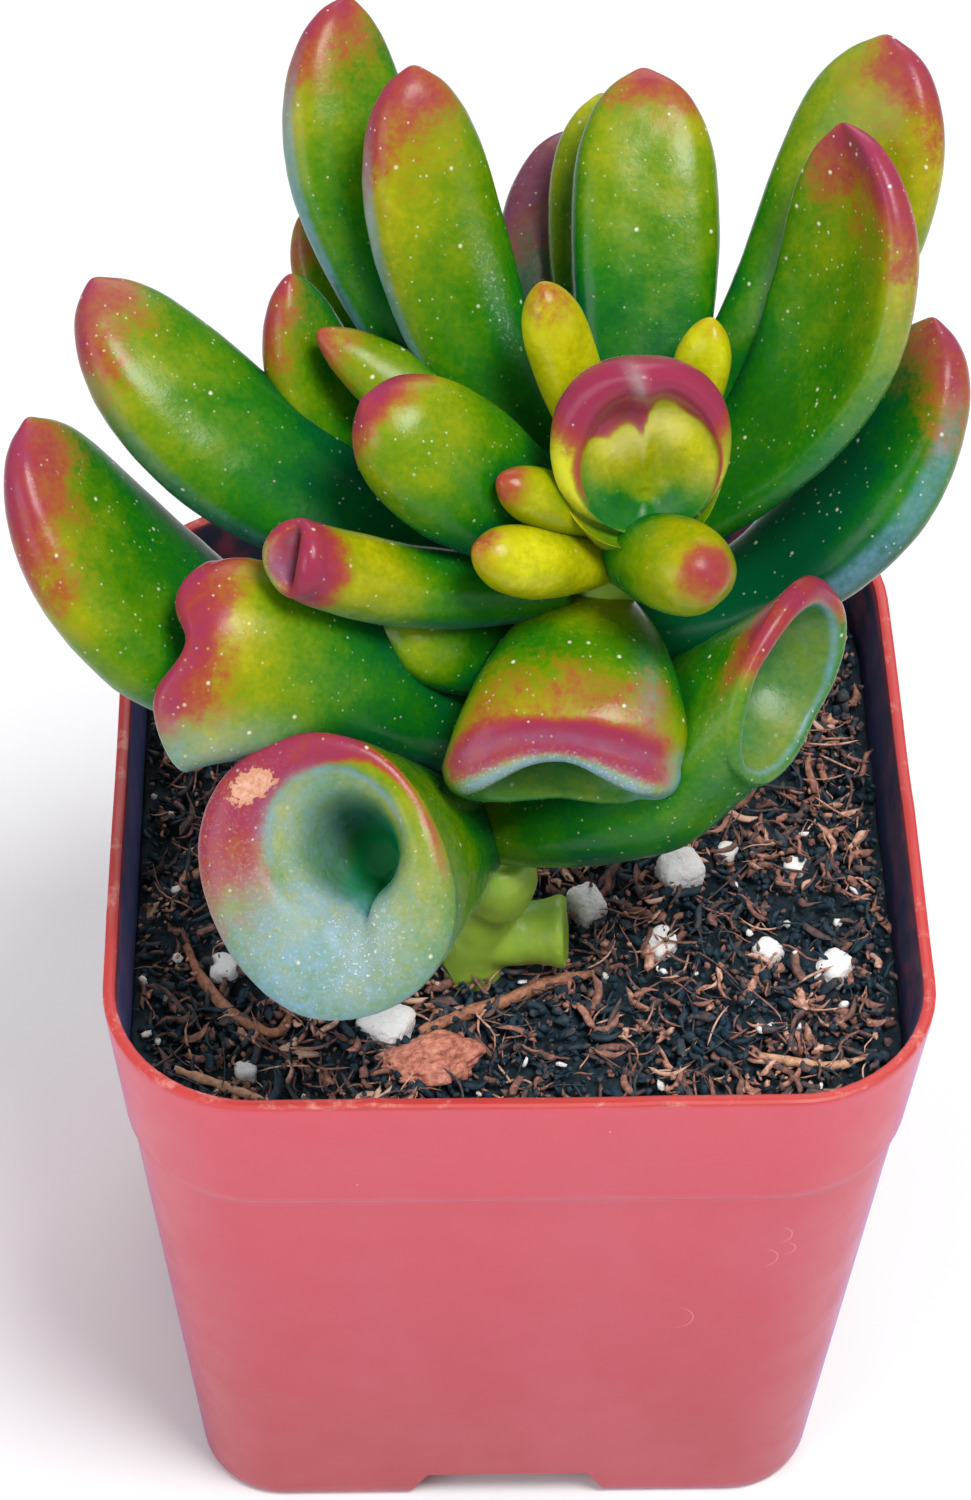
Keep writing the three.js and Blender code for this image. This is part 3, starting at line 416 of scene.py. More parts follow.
def trumpet_rings(leaf):
    """Rings up the outside, over the lip and down the cup. Rows count 0 to 1, to 1.4 and to 2."""
    angle = angles_round(LEAF_SIDES)
    t = np.linspace(0, 1, TUBE_ROWS)
    rim_lift = leaf["saddle"] * np.cos(2 * angle) - angle_bump(angle, leaf["notch"])
    middle, axis, up, across = leaf_frame(leaf, t)
    x, y = on_outline(
        angle[None], through_three(leaf["width"], t)[:, None], through_three(leaf["thick"], t)[:, None],
        leaf["square"],
    )
    tube = place(middle, up, across, x, y, axis, rim_lift[None] * rise(t, 0.6, 0.4)[:, None])
    half_width, half_thick = leaf["width"][2], leaf["thick"][2]
    at, size, turn, depth, power, entry = leaf["hollow"]
    turn = math.radians(turn)
    centre = (at[0] * half_width, at[1] * half_thick)
    sink = (leaf["sink"][0] * half_width * size[0], leaf["sink"][1] * half_thick * size[1])

    def inner_at(share):
        grow = (1 + angle_bump(angle, leaf["dip"])) * share
        u, v = on_outline(angle - turn, half_width * size[0] * grow, half_thick * size[1] * grow, 2)
        c, s = math.cos(turn), math.sin(turn)
        return centre[0] + u * c - v * s, centre[1] + u * s + v * c

    mouth = tuple(row[-1:] for row in (middle, up, across))
    mouth_axis = axis[-1:]
    u = np.linspace(0, 1, LIP_ROWS + 1)[1:, None]
    over = (1 - np.cos(math.pi * u)) / 2
    outer_x, outer_y = on_outline(angle[None], half_width, half_thick, leaf["square"])
    inner_x, inner_y = inner_at(1.0)
    breadth = np.hypot(outer_x - inner_x, outer_y - inner_y)
    height = leaf["rise"] + angle_bump(angle, leaf["crest"])
    lift = height * breadth * np.maximum(np.sin(math.pi * u), 0) ** 0.9 + rim_lift
    lip = place(*mouth, outer_x + (inner_x - outer_x) * over, outer_y + (inner_y - outer_y) * over,
                mouth_axis, lift)
    v = np.linspace(0, 1, BOWL_ROWS + 1)[1:-1]
    bowl = []
    for share in v:
        bx, by = inner_at(1 - share)
        drop = rim_lift * (1 - share) - depth * (1 - (1 - share ** entry) ** power)
        bowl.append(place(*mouth, (bx + sink[0] * share)[None], (by + sink[1] * share)[None],
                          mouth_axis, drop[None])[0])
    rings = np.concatenate([tube, lip, np.array(bowl)])
    rows = np.concatenate([t, 1 + 0.4 * u[:, 0], 1.4 + 0.6 * v])
    near_crease = 0.5 * near(rows, 1.4, 0.09)[1:-1, None, None]
    for _ in range(CREASE_ROUNDS):
        rings[1:-1] += near_crease * ((rings[:-2] + rings[2:]) / 2 - rings[1:-1])
    start = middle[0]
    end = mouth[0] + mouth[2] * (centre[0] + sink[0]) + mouth[1] * (centre[1] + sink[1])
    return rings, rows, start, (end - mouth_axis * depth)[0]


def ring_faces(rows, sides):
    """Faces of a skin: point 0, then rows of rings, then a last point."""
    i = np.arange(sides)
    j = (i + 1) % sides
    quads = []
    for row in range(rows - 1):
        near, far = 1 + row * sides, 1 + (row + 1) * sides
        quads.append(np.stack([near + i, near + j, far + j, far + i], 1))
    faces = np.concatenate(quads).tolist()
    last = 1 + rows * sides
    end = 1 + (rows - 1) * sides
    faces += np.stack([0 * i, 1 + j, 1 + i], 1).tolist()
    faces += np.stack([end + i, end + j, 0 * i + last], 1).tolist()
    return faces


def new_object(name, points_mm, faces, materials=(), smooth_shading=True):
    """A mesh object from points in millimetres."""
    mesh = bpy.data.meshes.new(name)
    mesh.from_pydata((np.asarray(points_mm, float) * MM).tolist(), [], faces)
    mesh.update()
    if smooth_shading:
        mesh.shade_smooth()
    for material in materials:
        mesh.materials.append(material)
    piece = bpy.data.objects.new(name, mesh)
    bpy.context.scene.collection.objects.link(piece)
    return piece


def face_out(piece):
    build = bmesh.new()
    build.from_mesh(piece.data)
    bmesh.ops.recalc_face_normals(build, faces=build.faces)
    build.to_mesh(piece.data)
    build.free()


def paint(piece, **layers):
    """Values on each point that the shaders read, or one value for all points."""
    for name, values in layers.items():
        layer = piece.data.attributes.new(name, "FLOAT", "POINT")
        layer.data.foreach_set("value", np.full(len(piece.data.vertices), values, np.float32))


def mesh_arrays(piece):
    mesh = piece.data
    points = np.empty(len(mesh.vertices) * 3, np.float32)
    normals = np.empty(len(mesh.vertices) * 3, np.float32)
    mesh.vertices.foreach_get("co", points)
    mesh.vertices.foreach_get("normal", normals)
    return points.reshape(-1, 3) / MM, normals.reshape(-1, 3)


def move_points(piece, points_mm):
    piece.data.vertices.foreach_set("co", (np.asarray(points_mm, np.float32) * MM).ravel())
    piece.data.update()


def field(points, size, seed, octaves=1):
    """Smooth noise in space, about -1 to 1, whose lumps are about size millimetres."""
    offset = Vector((seed * 7.3, seed * 3.1, seed * 5.7))
    out = np.zeros(len(points))
    for k in range(octaves):
        scale = (2 ** k) / size
        out += [noise.noise(Vector(p) * scale + offset) / (2 ** k) for p in points.tolist()]
    return out


def swell(piece, amount, size, seed, octaves=1):
    """Moves each point along its normal by smooth noise."""
    points, normals = mesh_arrays(piece)
    move_points(piece, points + normals * (amount * field(points, size, seed, octaves))[:, None])


# The light on the leaves: how many directions of the sky are tried, the least light from each, how far a ray
# looks in metres, how far before the skin it starts, and on how many points of a leaf this is worked out
SKY_COUNT = 36
SKY_LEAST = 0.3
RAY_REACH = 0.12
RAY_START = 0.7
LIGHT_ROWS = 20
LIGHT_STEP = 5


def sky_tree():
    """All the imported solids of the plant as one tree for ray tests."""
    points, faces = [], []
    for name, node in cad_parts.items():
        if name in ("pot", "soil"):
            continue
        start = len(points)
        points.extend(node.matrix_world @ v.co for v in node.data.vertices)
        faces.extend([start + k for k in p.vertices] for p in node.data.polygons)
    return BVHTree.FromPolygons(points, faces)


def sky_directions():
    """Directions spread over the sky, each with how much light comes from there."""
    out = []
    for k in range(SKY_COUNT):
        z = (k + 0.5) / SKY_COUNT
        turn = k * math.pi * (3 - math.sqrt(5))
        flat = math.sqrt(1 - z * z)
        way = Vector((flat * math.cos(turn), flat * math.sin(turn), z))
        out.append((way, SKY_LEAST + max(0.0, way.dot(SUN)) ** 2))
    return out


TREE = sky_tree()
SKY = sky_directions()
FULL_SUN = sum(w * max(0.0, d.dot(SUN)) for d, w in SKY)


def sunlight(points_mm, normals, lift=RAY_START):
    """How much of the sky's light each point gets, from 0 to about 1."""
    out = []
    for p, n in zip(points_mm.tolist(), normals.tolist()):
        n = Vector(n)
        start = (Vector(p) + n * lift) * MM
        got = 0.0
        for way, weight in SKY:
            facing = way.dot(n)
            if facing > 0 and TREE.ray_cast(start, way, RAY_REACH)[0] is None:
                got += weight * facing
        out.append(got / FULL_SUN)
    return np.array(out)


def ring_sunlight(rings, normals):
    """Sunlight on a leaf's rings, worked out on every few points and spread smoothly between them."""
    rows, sides = rings.shape[:2]
    keep_rows = np.unique(np.linspace(0, rows - 1, LIGHT_ROWS).round().astype(int))
    keep_sides = np.arange(0, sides, LIGHT_STEP)
    kept = np.ix_(keep_rows, keep_sides)
    grid = sunlight(rings[kept].reshape(-1, 3), normals[kept].reshape(-1, 3))
    grid = grid.reshape(len(keep_rows), len(keep_sides))
    wrapped = np.concatenate([grid, grid[:, :1]], 1)
    around = np.append(keep_sides, sides)
    spread = np.array([np.interp(np.arange(sides), around, row) for row in wrapped])
    return np.array([np.interp(np.arange(rows), keep_rows, spread[:, k]) for k in range(sides)]).T


def rgb(red, green, blue):
    """A colour given in screen values from 0 to 255, as the shader takes it."""
    def one(value):
        share = value / 255
        return share / 12.92 if share <= 0.04045 else ((share + 0.055) / 1.055) ** 2.4
    return one(red), one(green), one(blue), 1.0


def stops(*rows):
    """A ramp's colours, each row the place and three screen values."""
    return [(at, rgb(*colour)) for at, *colour in rows]


class Shader:
    """A material on a principled shader, with short calls for the nodes that feed it."""

    def __init__(self, name, roughness, **fixed):
        self.material = bpy.data.materials.new(name)
        self.material.use_nodes = True
        self.nodes = self.material.node_tree.nodes
        self.links = self.material.node_tree.links
        self.body = self.nodes["Principled BSDF"]
        for socket, value in {"Roughness": roughness, **fixed}.items():
            self.body.inputs[socket.replace("_", " ")].default_value = value
        self.place = self.nodes.new("ShaderNodeTexCoord").outputs["Object"]

    def give(self, socket, value):
        if hasattr(value, "is_linked"):
            self.links.new(value, socket)
        else:
            socket.default_value = value

    def node(self, kind, given, **settings):
        """A new node with its settings, and what goes into its sockets by their names or numbers."""
        node = self.nodes.new("ShaderNode" + kind)
        for key, value in settings.items():
            setattr(node, key, value)
        for socket, value in given.items():
            self.give(node.inputs[socket], value)
        return node

    def attribute(self, name):
        return self.node("Attribute", {}, attribute_name=name).outputs["Fac"]

    def math(self, kind, a, b=0.0, clamp=False):
        return self.node("Math", {0: a, 1: b}, operation=kind, use_clamp=clamp).outputs[0]

    def plus(self, a, b, clamp=False):
        return self.math("ADD", a, b, clamp)

    def times(self, a, b, clamp=False):
        return self.math("MULTIPLY", a, b, clamp)

    def span(self, value, low, high, out_low=0.0, out_high=1.0, soft=True):
        given = {"Value": value, "From Min": low, "From Max": high, "To Min": out_low, "To Max": out_high}
        kind = "SMOOTHSTEP" if soft else "LINEAR"
        return self.node("MapRange", given, interpolation_type=kind).outputs[0]

    def level(self, noise, low, high):
        """The usual range of a noise, stretched to run from low to high."""
        return self.span(noise, 0.3, 0.7, low, high, False)

    def stretched(self, scale):
        return self.node("Mapping", {"Vector": self.place, "Scale": scale}).outputs[0]

    def noise(self, size_mm, detail=3.0, rough=0.5, place=None):
        given = {"Vector": place or self.place, "Scale": 1 / (size_mm * MM), "Detail": detail}
        return self.node("TexNoise", {**given, "Roughness": rough}).outputs["Fac"]

    def cells(self, size_mm):
        return self.node("TexVoronoi", {"Vector": self.place, "Scale": 1 / (size_mm * MM)}).outputs

    def dots(self, size_mm, middle, reach, share, margin, key):
        """Soft dots, one in each of a share of the cells."""
        cells = self.cells(size_mm)
        dot = self.span(cells["Distance"], middle, reach, 1.0, 0.0)
        draw = self.math("FRACT", self.times(cells["Color"], key))
        return self.times(dot, self.span(draw, share - margin, share + margin, 1.0, 0.0))

    def ramp(self, value, colours):
        node = self.node("ValToRGB", {0: value})
        items = node.color_ramp.elements
        while len(items) < len(colours):
            items.new(0.5)
        for item, (at, colour) in zip(items, colours):
            item.position = at
            item.color = colour
        return node.outputs["Color"]

    def mix(self, share, a, b, kind="MIX"):
        return self.node("Mix", {0: share, 6: a, 7: b}, data_type="RGBA", blend_type=kind).outputs[2]

    def bump(self, height, distance_mm, strength, below=None):
        given = {"Height": height, "Distance": distance_mm * MM, "Strength": strength}
        if below is not None:
            given["Normal"] = below
        bump = self.node("Bump", given).outputs[0]
        self.links.new(bump, self.body.inputs["Normal"])
        return bump

    def finish(self, colour, roughness=None):
        self.give(self.body.inputs["Base Color"], colour)
        if roughness is not None:
            self.give(self.body.inputs["Roughness"], roughness)
        return self.material


# The greens from deep shade to full sun, and the reds from their faint edge to the tip
GREENS = stops(
    (0.0, 2, 78, 42), (0.14, 8, 94, 26), (0.28, 30, 108, 8), (0.42, 72, 122, 3),
    (0.56, 108, 136, 3), (0.72, 146, 150, 4), (0.88, 182, 180, 10), (1.0, 206, 204, 26),
)
REDS = stops(
    (0.0, 126, 122, 6), (0.3, 148, 108, 18), (0.56, 156, 82, 38), (0.8, 152, 54, 54), (1.0, 146, 46, 74),
)
JADE = rgb(24, 140, 78)
CREAM = rgb(220, 206, 140)
DUSK = rgb(116, 92, 132)
WAX = rgb(122, 164, 198)
FLECK = rgb(236, 232, 205)
FROST = rgb(236, 246, 248)
SCAB = rgb(218, 168, 148)
SCAB_EDGE = rgb(196, 138, 104)
FLESH_DEPTHS = (1.0, 0.9, 0.3)


def leaf_material(name, mottling, fleck_share):
    s = Shader(
        name, 0.28, Subsurface_Weight=0.08, Subsurface_Scale=0.0015, Subsurface_Radius=FLESH_DEPTHS,
        Specular_IOR_Level=0.2, Sheen_Weight=0.26, Sheen_Roughness=0.08, Sheen_Tint=rgb(205, 232, 245),
    )
    patchy = s.noise(3.2, 4, 0.6)
    grain = s.noise(0.4, 3, 0.6)
    glow = s.plus(s.attribute("glow"), s.level(patchy, -0.1, 0.1))
    glow = s.plus(glow, s.level(grain, -0.035, 0.035), clamp=True)
    colour = s.ramp(glow, GREENS)
    edge = s.attribute("blush")
    mottle = s.plus(s.level(s.noise(2.2, 4, 0.6), -mottling, mottling),
                    s.level(grain, -mottling * 0.5, mottling * 0.5))
    blush = s.plus(edge, s.times(mottle, s.span(edge, 0.0, 0.2)), clamp=True)
    colour = s.mix(s.span(blush, 0.02, 0.6), colour, s.ramp(blush, REDS))
    colour = s.mix(s.attribute("jade"), colour, JADE)
    colour = s.mix(s.attribute("cream"), colour, CREAM)
    colour = s.mix(s.attribute("shade"), colour, s.mix(1.0, colour, DUSK, "MULTIPLY"))
    wax = s.times(s.attribute("bloom"), s.span(s.noise(0.9, 5, 0.7), 0.3, 0.68, 0.35, 1.1, False))
    colour = s.mix(s.times(wax, 0.85, True), colour, WAX)
    strewn = s.span(s.noise(4.5, 3, 0.6), 0.42, 0.6, 0.25, 1.0)
    small = s.dots(0.62, 0.03, 0.2, fleck_share, 0.02, 3.7)
    small = s.times(small, s.times(strewn, 0.55))
    large = s.times(s.dots(1.7, 0.03, 0.12, fleck_share * 0.8, 0.02, 3.7), 0.75)
    fleck = s.times(s.math("MAXIMUM", small, large), s.attribute("fleck"))
    colour = s.mix(fleck, colour, FLECK)
    crystals = s.span(s.noise(0.26, 4, 0.7), 0.5, 0.68, 0.12, 1.0)
    frost = s.times(crystals, s.attribute("frost"))
    colour = s.mix(s.times(frost, 0.75, True), colour, FROST)
    scab = s.span(s.plus(s.attribute("scab"), s.level(grain, -0.2, 0.2)), 0.42, 0.55)
    colour = s.mix(scab, colour, s.mix(s.span(grain, 0.35, 0.65), SCAB, SCAB_EDGE))
    skin = s.bump(s.noise(0.35, 4, 0.6), 0.03, 0.5)
    skin = s.bump(s.noise(2.2, 3, 0.5), 0.12, 0.35, skin)
    skin = s.bump(frost, 0.08, 0.8, skin)
    s.bump(fleck, 0.06, 0.8, skin)
    return s.finish(colour, s.plus(s.level(patchy, 0.2, 0.32), s.times(wax, 0.2)))


MATURE = leaf_material("leaf_mature", 0.2, 0.62)
TENDER = leaf_material("leaf_young", 0.14, 0.25)

# How yellow a leaf is: a least share, and what painted light and shade from the sky light on each point,
# nearness to the tip, the outer side and the middle of the plant add; painted shade dulls the underside
GLOW_LEAST = 0.03
GLOW_LIGHT = 0.22
GLOW_TIP = 0.36
GLOW_SIDE = 0.16
GLOW_CORE = 0.26
GLOW_YOUNG = 0.42
UNDERSIDE_SHADE = 0.1
CORE = np.array((5.0, -5.0, 84.0))
CORE_REACH = 13.0
BLUSH_BREADTH = 0.42
BLUSH_AHEAD = 0.13

# How much painted shade darkens the inside of a cup with depth
CUP_SHADE = {"leaf_big_trumpet": 0.25, "leaf_right_trumpet": 0.05, "leaf_hood": 0.16}
CUP_SHADE_ELSE = 0.35

# Painted rim light along one edge of a leaf: how strong, negative for the edge on the left
EDGE_RIM_LIGHT = {
    "leaf_far_right": 0.55, "leaf_right": 0.1, "leaf_upper_left": -0.25, "leaf_tall_left": -0.7,
    "leaf_tall_left_front": -0.7,
}


def is_young(name):
    return name.startswith(YOUNG)


def underside(normals):
    return smooth((0.1 - normals[:, 2]) / 0.9)


def nearness(points):
    return smooth(1 - np.linalg.norm(points - CORE, axis=1) / CORE_REACH)


def painted_rim_light(name, t, angle):
    strength = EDGE_RIM_LIGHT.get(name, 0)
    edge = rise(np.cos(angle) * np.sign(strength), 0.93, 0.07)
    return abs(strength) * edge * rise(t, 0.12, 0.3) * fall(t, 0.72, 0.25)


def colour_blade(name, leaf, t, angle, points, normals, light):
    """What the shader reads on a closed leaf, from the share of its length and the angle round it."""
    start, bias, way, skew, strength = leaf["blush"]
    side = normals @ unit(way)
    across = skew * np.cos(angle)
    blush = strength * smooth((t + bias * side + across - start + BLUSH_AHEAD) / BLUSH_BREADTH)
    under = underside(normals)
    glow = (GLOW_LEAST + GLOW_LIGHT * light + GLOW_TIP * rise(t, 0.34, 0.5) + GLOW_SIDE * side
            + GLOW_CORE * nearness(points) + leaf["lift"] - UNDERSIDE_SHADE * under
            + across * rise(t, 0.25, 0.4))
    if is_young(name):
        glow = GLOW_YOUNG + GLOW_LIGHT * light + 0.14 * t + leaf["lift"] * 0.5
    if name == "leaf_bulb":
        glow -= 0.34 * fall(t, 0.36, 0.4)
    bloom = leaf["bloom"] * np.maximum(under * rise(t, 0, 0.4), 0.3 * rise(t, 0.86, 0.1))
    layers = {"bloom": np.maximum(bloom, painted_rim_light(name, t, angle))}
    if name == "leaf_purple_back":
        layers = {"bloom": leaf["bloom"], "shade": 0.5}
    if name == "leaf_tall_left_front":
        scuffed = near(t, 0.56, 0.13) * near(np.cos(angle), 0.4, 0.16)
        layers["frost"] = 0.5 * scuffed * smooth(normals[:, 2] * 3)
    return {"blush": blush, "glow": glow, "fleck": 0.5 if is_young(name) else 1.0, **layers}


def colour_trumpet(name, leaf, row, angle, points, normals, light):
    """What the shader reads on a cupped leaf. Rows count 0 at the foot, 1 at the rim, 1.4 at the cup's edge
    and 2 at its bottom; angles are counted round the mouth, with the leaf's face at 90 degrees."""
    centre, breadth, reach, strength = leaf["rim_red"]
    turn, up, right = np.degrees(angle), np.sin(angle), np.cos(angle)
    away = np.abs(turned(angle, centre))
    breadth = math.radians(breadth)
    around = fall(away, breadth * 0.6, breadth * 0.7)
    outside = rise(row, 1 - reach, reach)
    inside = rise(row, 1.25, 0.15)
    under = underside(normals)
    lip = rise(row, 0.8, 0.2) * fall(row, 1.5, 0.25)
    blush = strength * around * outside * fall(row, 1.2, 0.14)
    bloom = leaf["bloom"] * np.maximum(under, lip * (1 - around))
    edge_at, edge_pale = 1.36, 0.8 * leaf["bloom"]
    cup_shade = CUP_SHADE.get(name, CUP_SHADE_ELSE) * rise(row, 1.4, 0.6)
    glow = (GLOW_LEAST + (GLOW_LIGHT + 0.1) * light + GLOW_TIP * rise(row, 0.35, 0.5)
            + GLOW_CORE * nearness(points) + leaf["lift"] * rise(row, 0.35, 0.4)
            - UNDERSIDE_SHADE * under - cup_shade)
    if is_young(name):
        glow = GLOW_YOUNG + GLOW_LIGHT * light + 0.14 + leaf["lift"] * 0.5 - cup_shade
    layers = {}
    if name == "leaf_hood":
        # The red band's lower edge waves, with a painted highlight on the fold and a creamy line under it;
        # painted shade makes the cup darker green below, and painted light makes its upper inside yellower
        wave = (0.16 * rise(turn, 20, 22) * smooth((96 - turn) / 18)
                + 0.09 * near(turn, 80, 8) + 0.03 * near(turn, 122, 13))
        blush = np.maximum(blush, around * outside * fall(row, 1.32 + wave, 0.1))
        blush = np.maximum(blush, 0.62 * near(row, 1.3, 0.07) * fall(np.abs(away - 1.4), 0.4, 0.5))
        fold_highlight = near(turn, 80, 5) * near(row, 1.22, 0.12)
        bloom = np.maximum(bloom, 0.4 * fold_highlight)
        cream = near(row, 1.54 + 0.6 * wave, 0.1) * fall(np.abs(turn - 80), 40, 30)
        layers["cream"] = np.maximum(0.42 * cream, 0.2 * fold_highlight)
        outer = fall(row, 1.2, 0.1)
        glow -= 0.48 * smooth(0.2 - 1.1 * up) * rise(row, 1.2, 0.1) * fall(row, 1.7, 0.2)
        glow += (0.3 * smooth(right) - 0.3 * smooth(-1.3 * up - 0.3)) * outer
        glow += 0.12 * smooth(up) * inside * fall(row, 1.6, 0.3)
        glow = np.maximum(glow, 0.24)
    if name == "leaf_front_curl":
        # Red over the whole top, with a pale lip, a pale ridge at the left, a pale lobe, a painted highlight
        # along the crown of the roll, and painted shade inside under the lip
        bloom *= 0.2 + 0.8 * smooth(up * 1.5)
        blush = around * (0.44 * rise(row, 0.36, 0.3) + 0.56 * rise(row, 0.78, 0.16)) * fall(row, 1.06, 0.08)
        ridge = near(turn, 128, 9) * near(row, 0.62, 0.2)
        crown_highlight = near(row, 0.99, 0.04) * smooth(up)
        lobe = 1 - smooth(np.abs(turned(angle, 180)) / 0.9)
        bloom = np.maximum(bloom, np.maximum(0.35 * ridge, 0.2 * crown_highlight))
        bloom = np.maximum(bloom, 0.9 * lobe * rise(row, 0.86, 0.14))
        edge_at, edge_pale = 1.17, 1.3
        layers["frost"] = 0.8 * around * near(row, 1.16, 0.07)
        glow += 0.36 * fall(row, 0.1, 0.36) - 0.2 * smooth(0.4 - up) * rise(row, 1.0, 0.2)
    if name == "leaf_small_trumpet":
        blush = np.maximum(blush, rise(row, 1.1, 0.2)) * 0.92
    if name == "leaf_heart_spoon":
        bloom = np.maximum(bloom, 0.8 * smooth(-toward(angle, 20)) * rise(row, 0.4, 0.4))
    if name == "leaf_right_trumpet":
        # A pale line round the mouth, and yellow at the foot
        bloom = np.maximum(bloom, np.maximum(0.16 * inside, 0.8 * near(row, 1.3, 0.045)))
        glow += 0.14 * inside + 0.5 * fall(row, 0.04, 0.3)
    if name == "leaf_big_trumpet":
        # Red over the top and down the left, a deep green hole, a dry scab, and frost at the notch; painted
        # light makes the upper inside paler and the inside yellower
        bloom *= 0.5 + 0.5 * np.maximum(toward(angle, 335), -0.6)
        left = smooth(0.2 - toward(angle, 20))
        outside = rise(row, 0.66 + 0.28 * left, 0.34 - 0.12 * left)
        blush = strength * around * outside * fall(row, 1.26 - 0.16 * left, 0.12)
        blush *= 0.72 + 0.28 * toward(angle, 95)
        hole = smooth(toward(angle, 235) * 0.5 + 0.5)
        layers["jade"] = rise(row, 1.72 - 0.26 * hole, 0.1)
        upper = 0.5 + 0.5 * toward(angle, 60)
        bloom = np.maximum(bloom, 0.68 * upper * inside * fall(row, 1.7, 0.1))
        layers["scab"] = 1 - 0.5 * np.hypot((turn - 66) / 13, (row - 1.2) / 0.075)
        notch = np.hypot((turn - 278) / 34, (row - 1.3) / 0.22)
        low = 0.5 + 0.5 * toward(angle, 320)
        layers["frost"] = np.maximum(1.2 * fall(notch, 0.2, 1.0), 0.2 * low * lip)
        glow += 0.08 * inside * fall(row, 1.7, 0.2)
    bloom = np.maximum(bloom, edge_pale * around * near(row, edge_at, 0.06))
    fleck = np.where(row > 1.3, 0.3, 1.0)
    return {"blush": blush, "glow": glow, "bloom": bloom * 0.8, "fleck": fleck, **layers}


# How uneven a leaf's skin is: how far it swells and the size of the swellings
LEAF_SWELLINGS = [(0.10, 5.0, 0), (0.035, 1.4, 0.5)]


def make_leaf(name, leaf, seed):
    cupped = "mouth" in leaf
    rings, rows, start, end = trumpet_rings(leaf) if cupped else blade_rings(leaf)
    count, sides = rings.shape[:2]
    points = np.concatenate([start[None], rings.reshape(-1, 3), end[None]])
    material = TENDER if is_young(name) else MATURE
    piece = new_object(name + "_skin", points, ring_faces(count, sides), [material])
    face_out(piece)
    for amount, size, step in LEAF_SWELLINGS:
        swell(piece, amount, size, seed + step)
    points, normals = mesh_arrays(piece)
    # The sky light on each point, painted into the leaf's colour as light and shade
    light = ring_sunlight(points[1:-1].reshape(rings.shape), normals[1:-1].reshape(rings.shape)).ravel()
    light = np.concatenate([light[:1], light, light[-1:]])
    row = np.concatenate([rows[:1], np.repeat(rows, sides), rows[-1:]])
    angle = np.concatenate([[0], np.tile(angles_round(sides), count), [0]])
    colour = colour_trumpet if cupped else colour_blade
    paint(piece, **colour(name, leaf, row, angle, points, normals, light))
    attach(piece, "root")
    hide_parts(name)


for seed, (leaf_name, leaf_form) in enumerate([*BLADES.items(), *TRUMPETS.items()]):
    make_leaf(leaf_name, leaf_form, seed + 1)


# The stem, its knob and the cut stump, grown together

def stem_material():
    s = Shader("stem", 0.4, Subsurface_Weight=0.1, Subsurface_Scale=0.002, Subsurface_Radius=FLESH_DEPTHS,
               Specular_IOR_Level=0.5)
    glow = s.plus(s.attribute("glow"), s.level(s.noise(1.6, 4, 0.6), -0.12, 0.12), True)
    colour = s.mix(0.6, s.ramp(glow, GREENS), rgb(168, 216, 84))
    streaks = s.noise(0.5, 3, 0.6, place=s.stretched((1.0, 1.0, 0.25)))
    colour = s.mix(s.span(streaks, 0.56, 0.72, 0.0, 0.35), colour, rgb(176, 150, 92))
    s.bump(streaks, 0.1, 0.5, s.bump(s.noise(1.2, 4), 0.15, 0.5))
    return s.finish(colour)


def catmull_rom(points, count):
    """Points and directions along a smooth line through the given points, evenly spaced by section."""
    points = np.array(points, float)
    padded = np.concatenate([[2 * points[0] - points[1]], points, [2 * points[-1] - points[-2]]])
    u = np.linspace(0, len(points) - 1, count)
    k = np.minimum(u.astype(int), len(points) - 2)
    f = (u - k)[:, None]
    a, b, c, d = (padded[k + i] for i in range(4))
    square, cube = 2 * a - 5 * b + 4 * c - d, 3 * b - a - 3 * c + d
    where = 0.5 * (2 * b + (c - a) * f + square * f ** 2 + cube * f ** 3)
    way = 0.5 * ((c - a) + 2 * square * f + 3 * cube * f ** 2)
    return where, unit(way)


def tube(points, radii, sides, count=60):
    """A closed round tube along a smooth line: points and faces."""
    where, way = catmull_rom(points, count)
    radius = np.interp(np.linspace(0, len(radii) - 1, count), np.arange(len(radii)), radii)
    side = unit(np.cross(way, (0.1, 0.3, 1.0) if abs(way[0][2]) < 0.7 else (1.0, 0.0, 0.0)))
    up = np.cross(side, way)
    angle = angles_round(sides)
    rings = (where[:, None] + side[:, None] * (np.cos(angle)[None, :, None] * radius[:, None, None])
             + up[:, None] * (np.sin(angle)[None, :, None] * radius[:, None, None]))
    skin = np.concatenate([where[:1], rings.reshape(-1, 3), where[-1:]])
    return skin, ring_faces(count, sides)


def join_meshes(name, parts):
    """One object from several lists of points and faces."""
    points, faces, start = [], [], 0
    for part_points, part_faces in parts:
        points.append(np.asarray(part_points))
        faces.extend([[start + k for k in face] for face in part_faces])
        start += len(part_points)
    return new_object(name, np.concatenate(points), faces)


def apply_modifiers(piece):
    graph = bpy.context.evaluated_depsgraph_get()
    mesh = bpy.data.meshes.new_from_object(piece.evaluated_get(graph))
    piece.modifiers.clear()
    piece.data = mesh


def remesh(piece, voxel_mm, rounds):
    """Grows overlapping shapes together into one smooth skin."""
    grow = piece.modifiers.new("grow", "REMESH")
    grow.mode = "VOXEL"
    grow.voxel_size = voxel_mm * MM
    grow.use_smooth_shade = True
    soften = piece.modifiers.new("soften", "SMOOTH")
    soften.factor = 0.5
    soften.iterations = rounds
    apply_modifiers(piece)


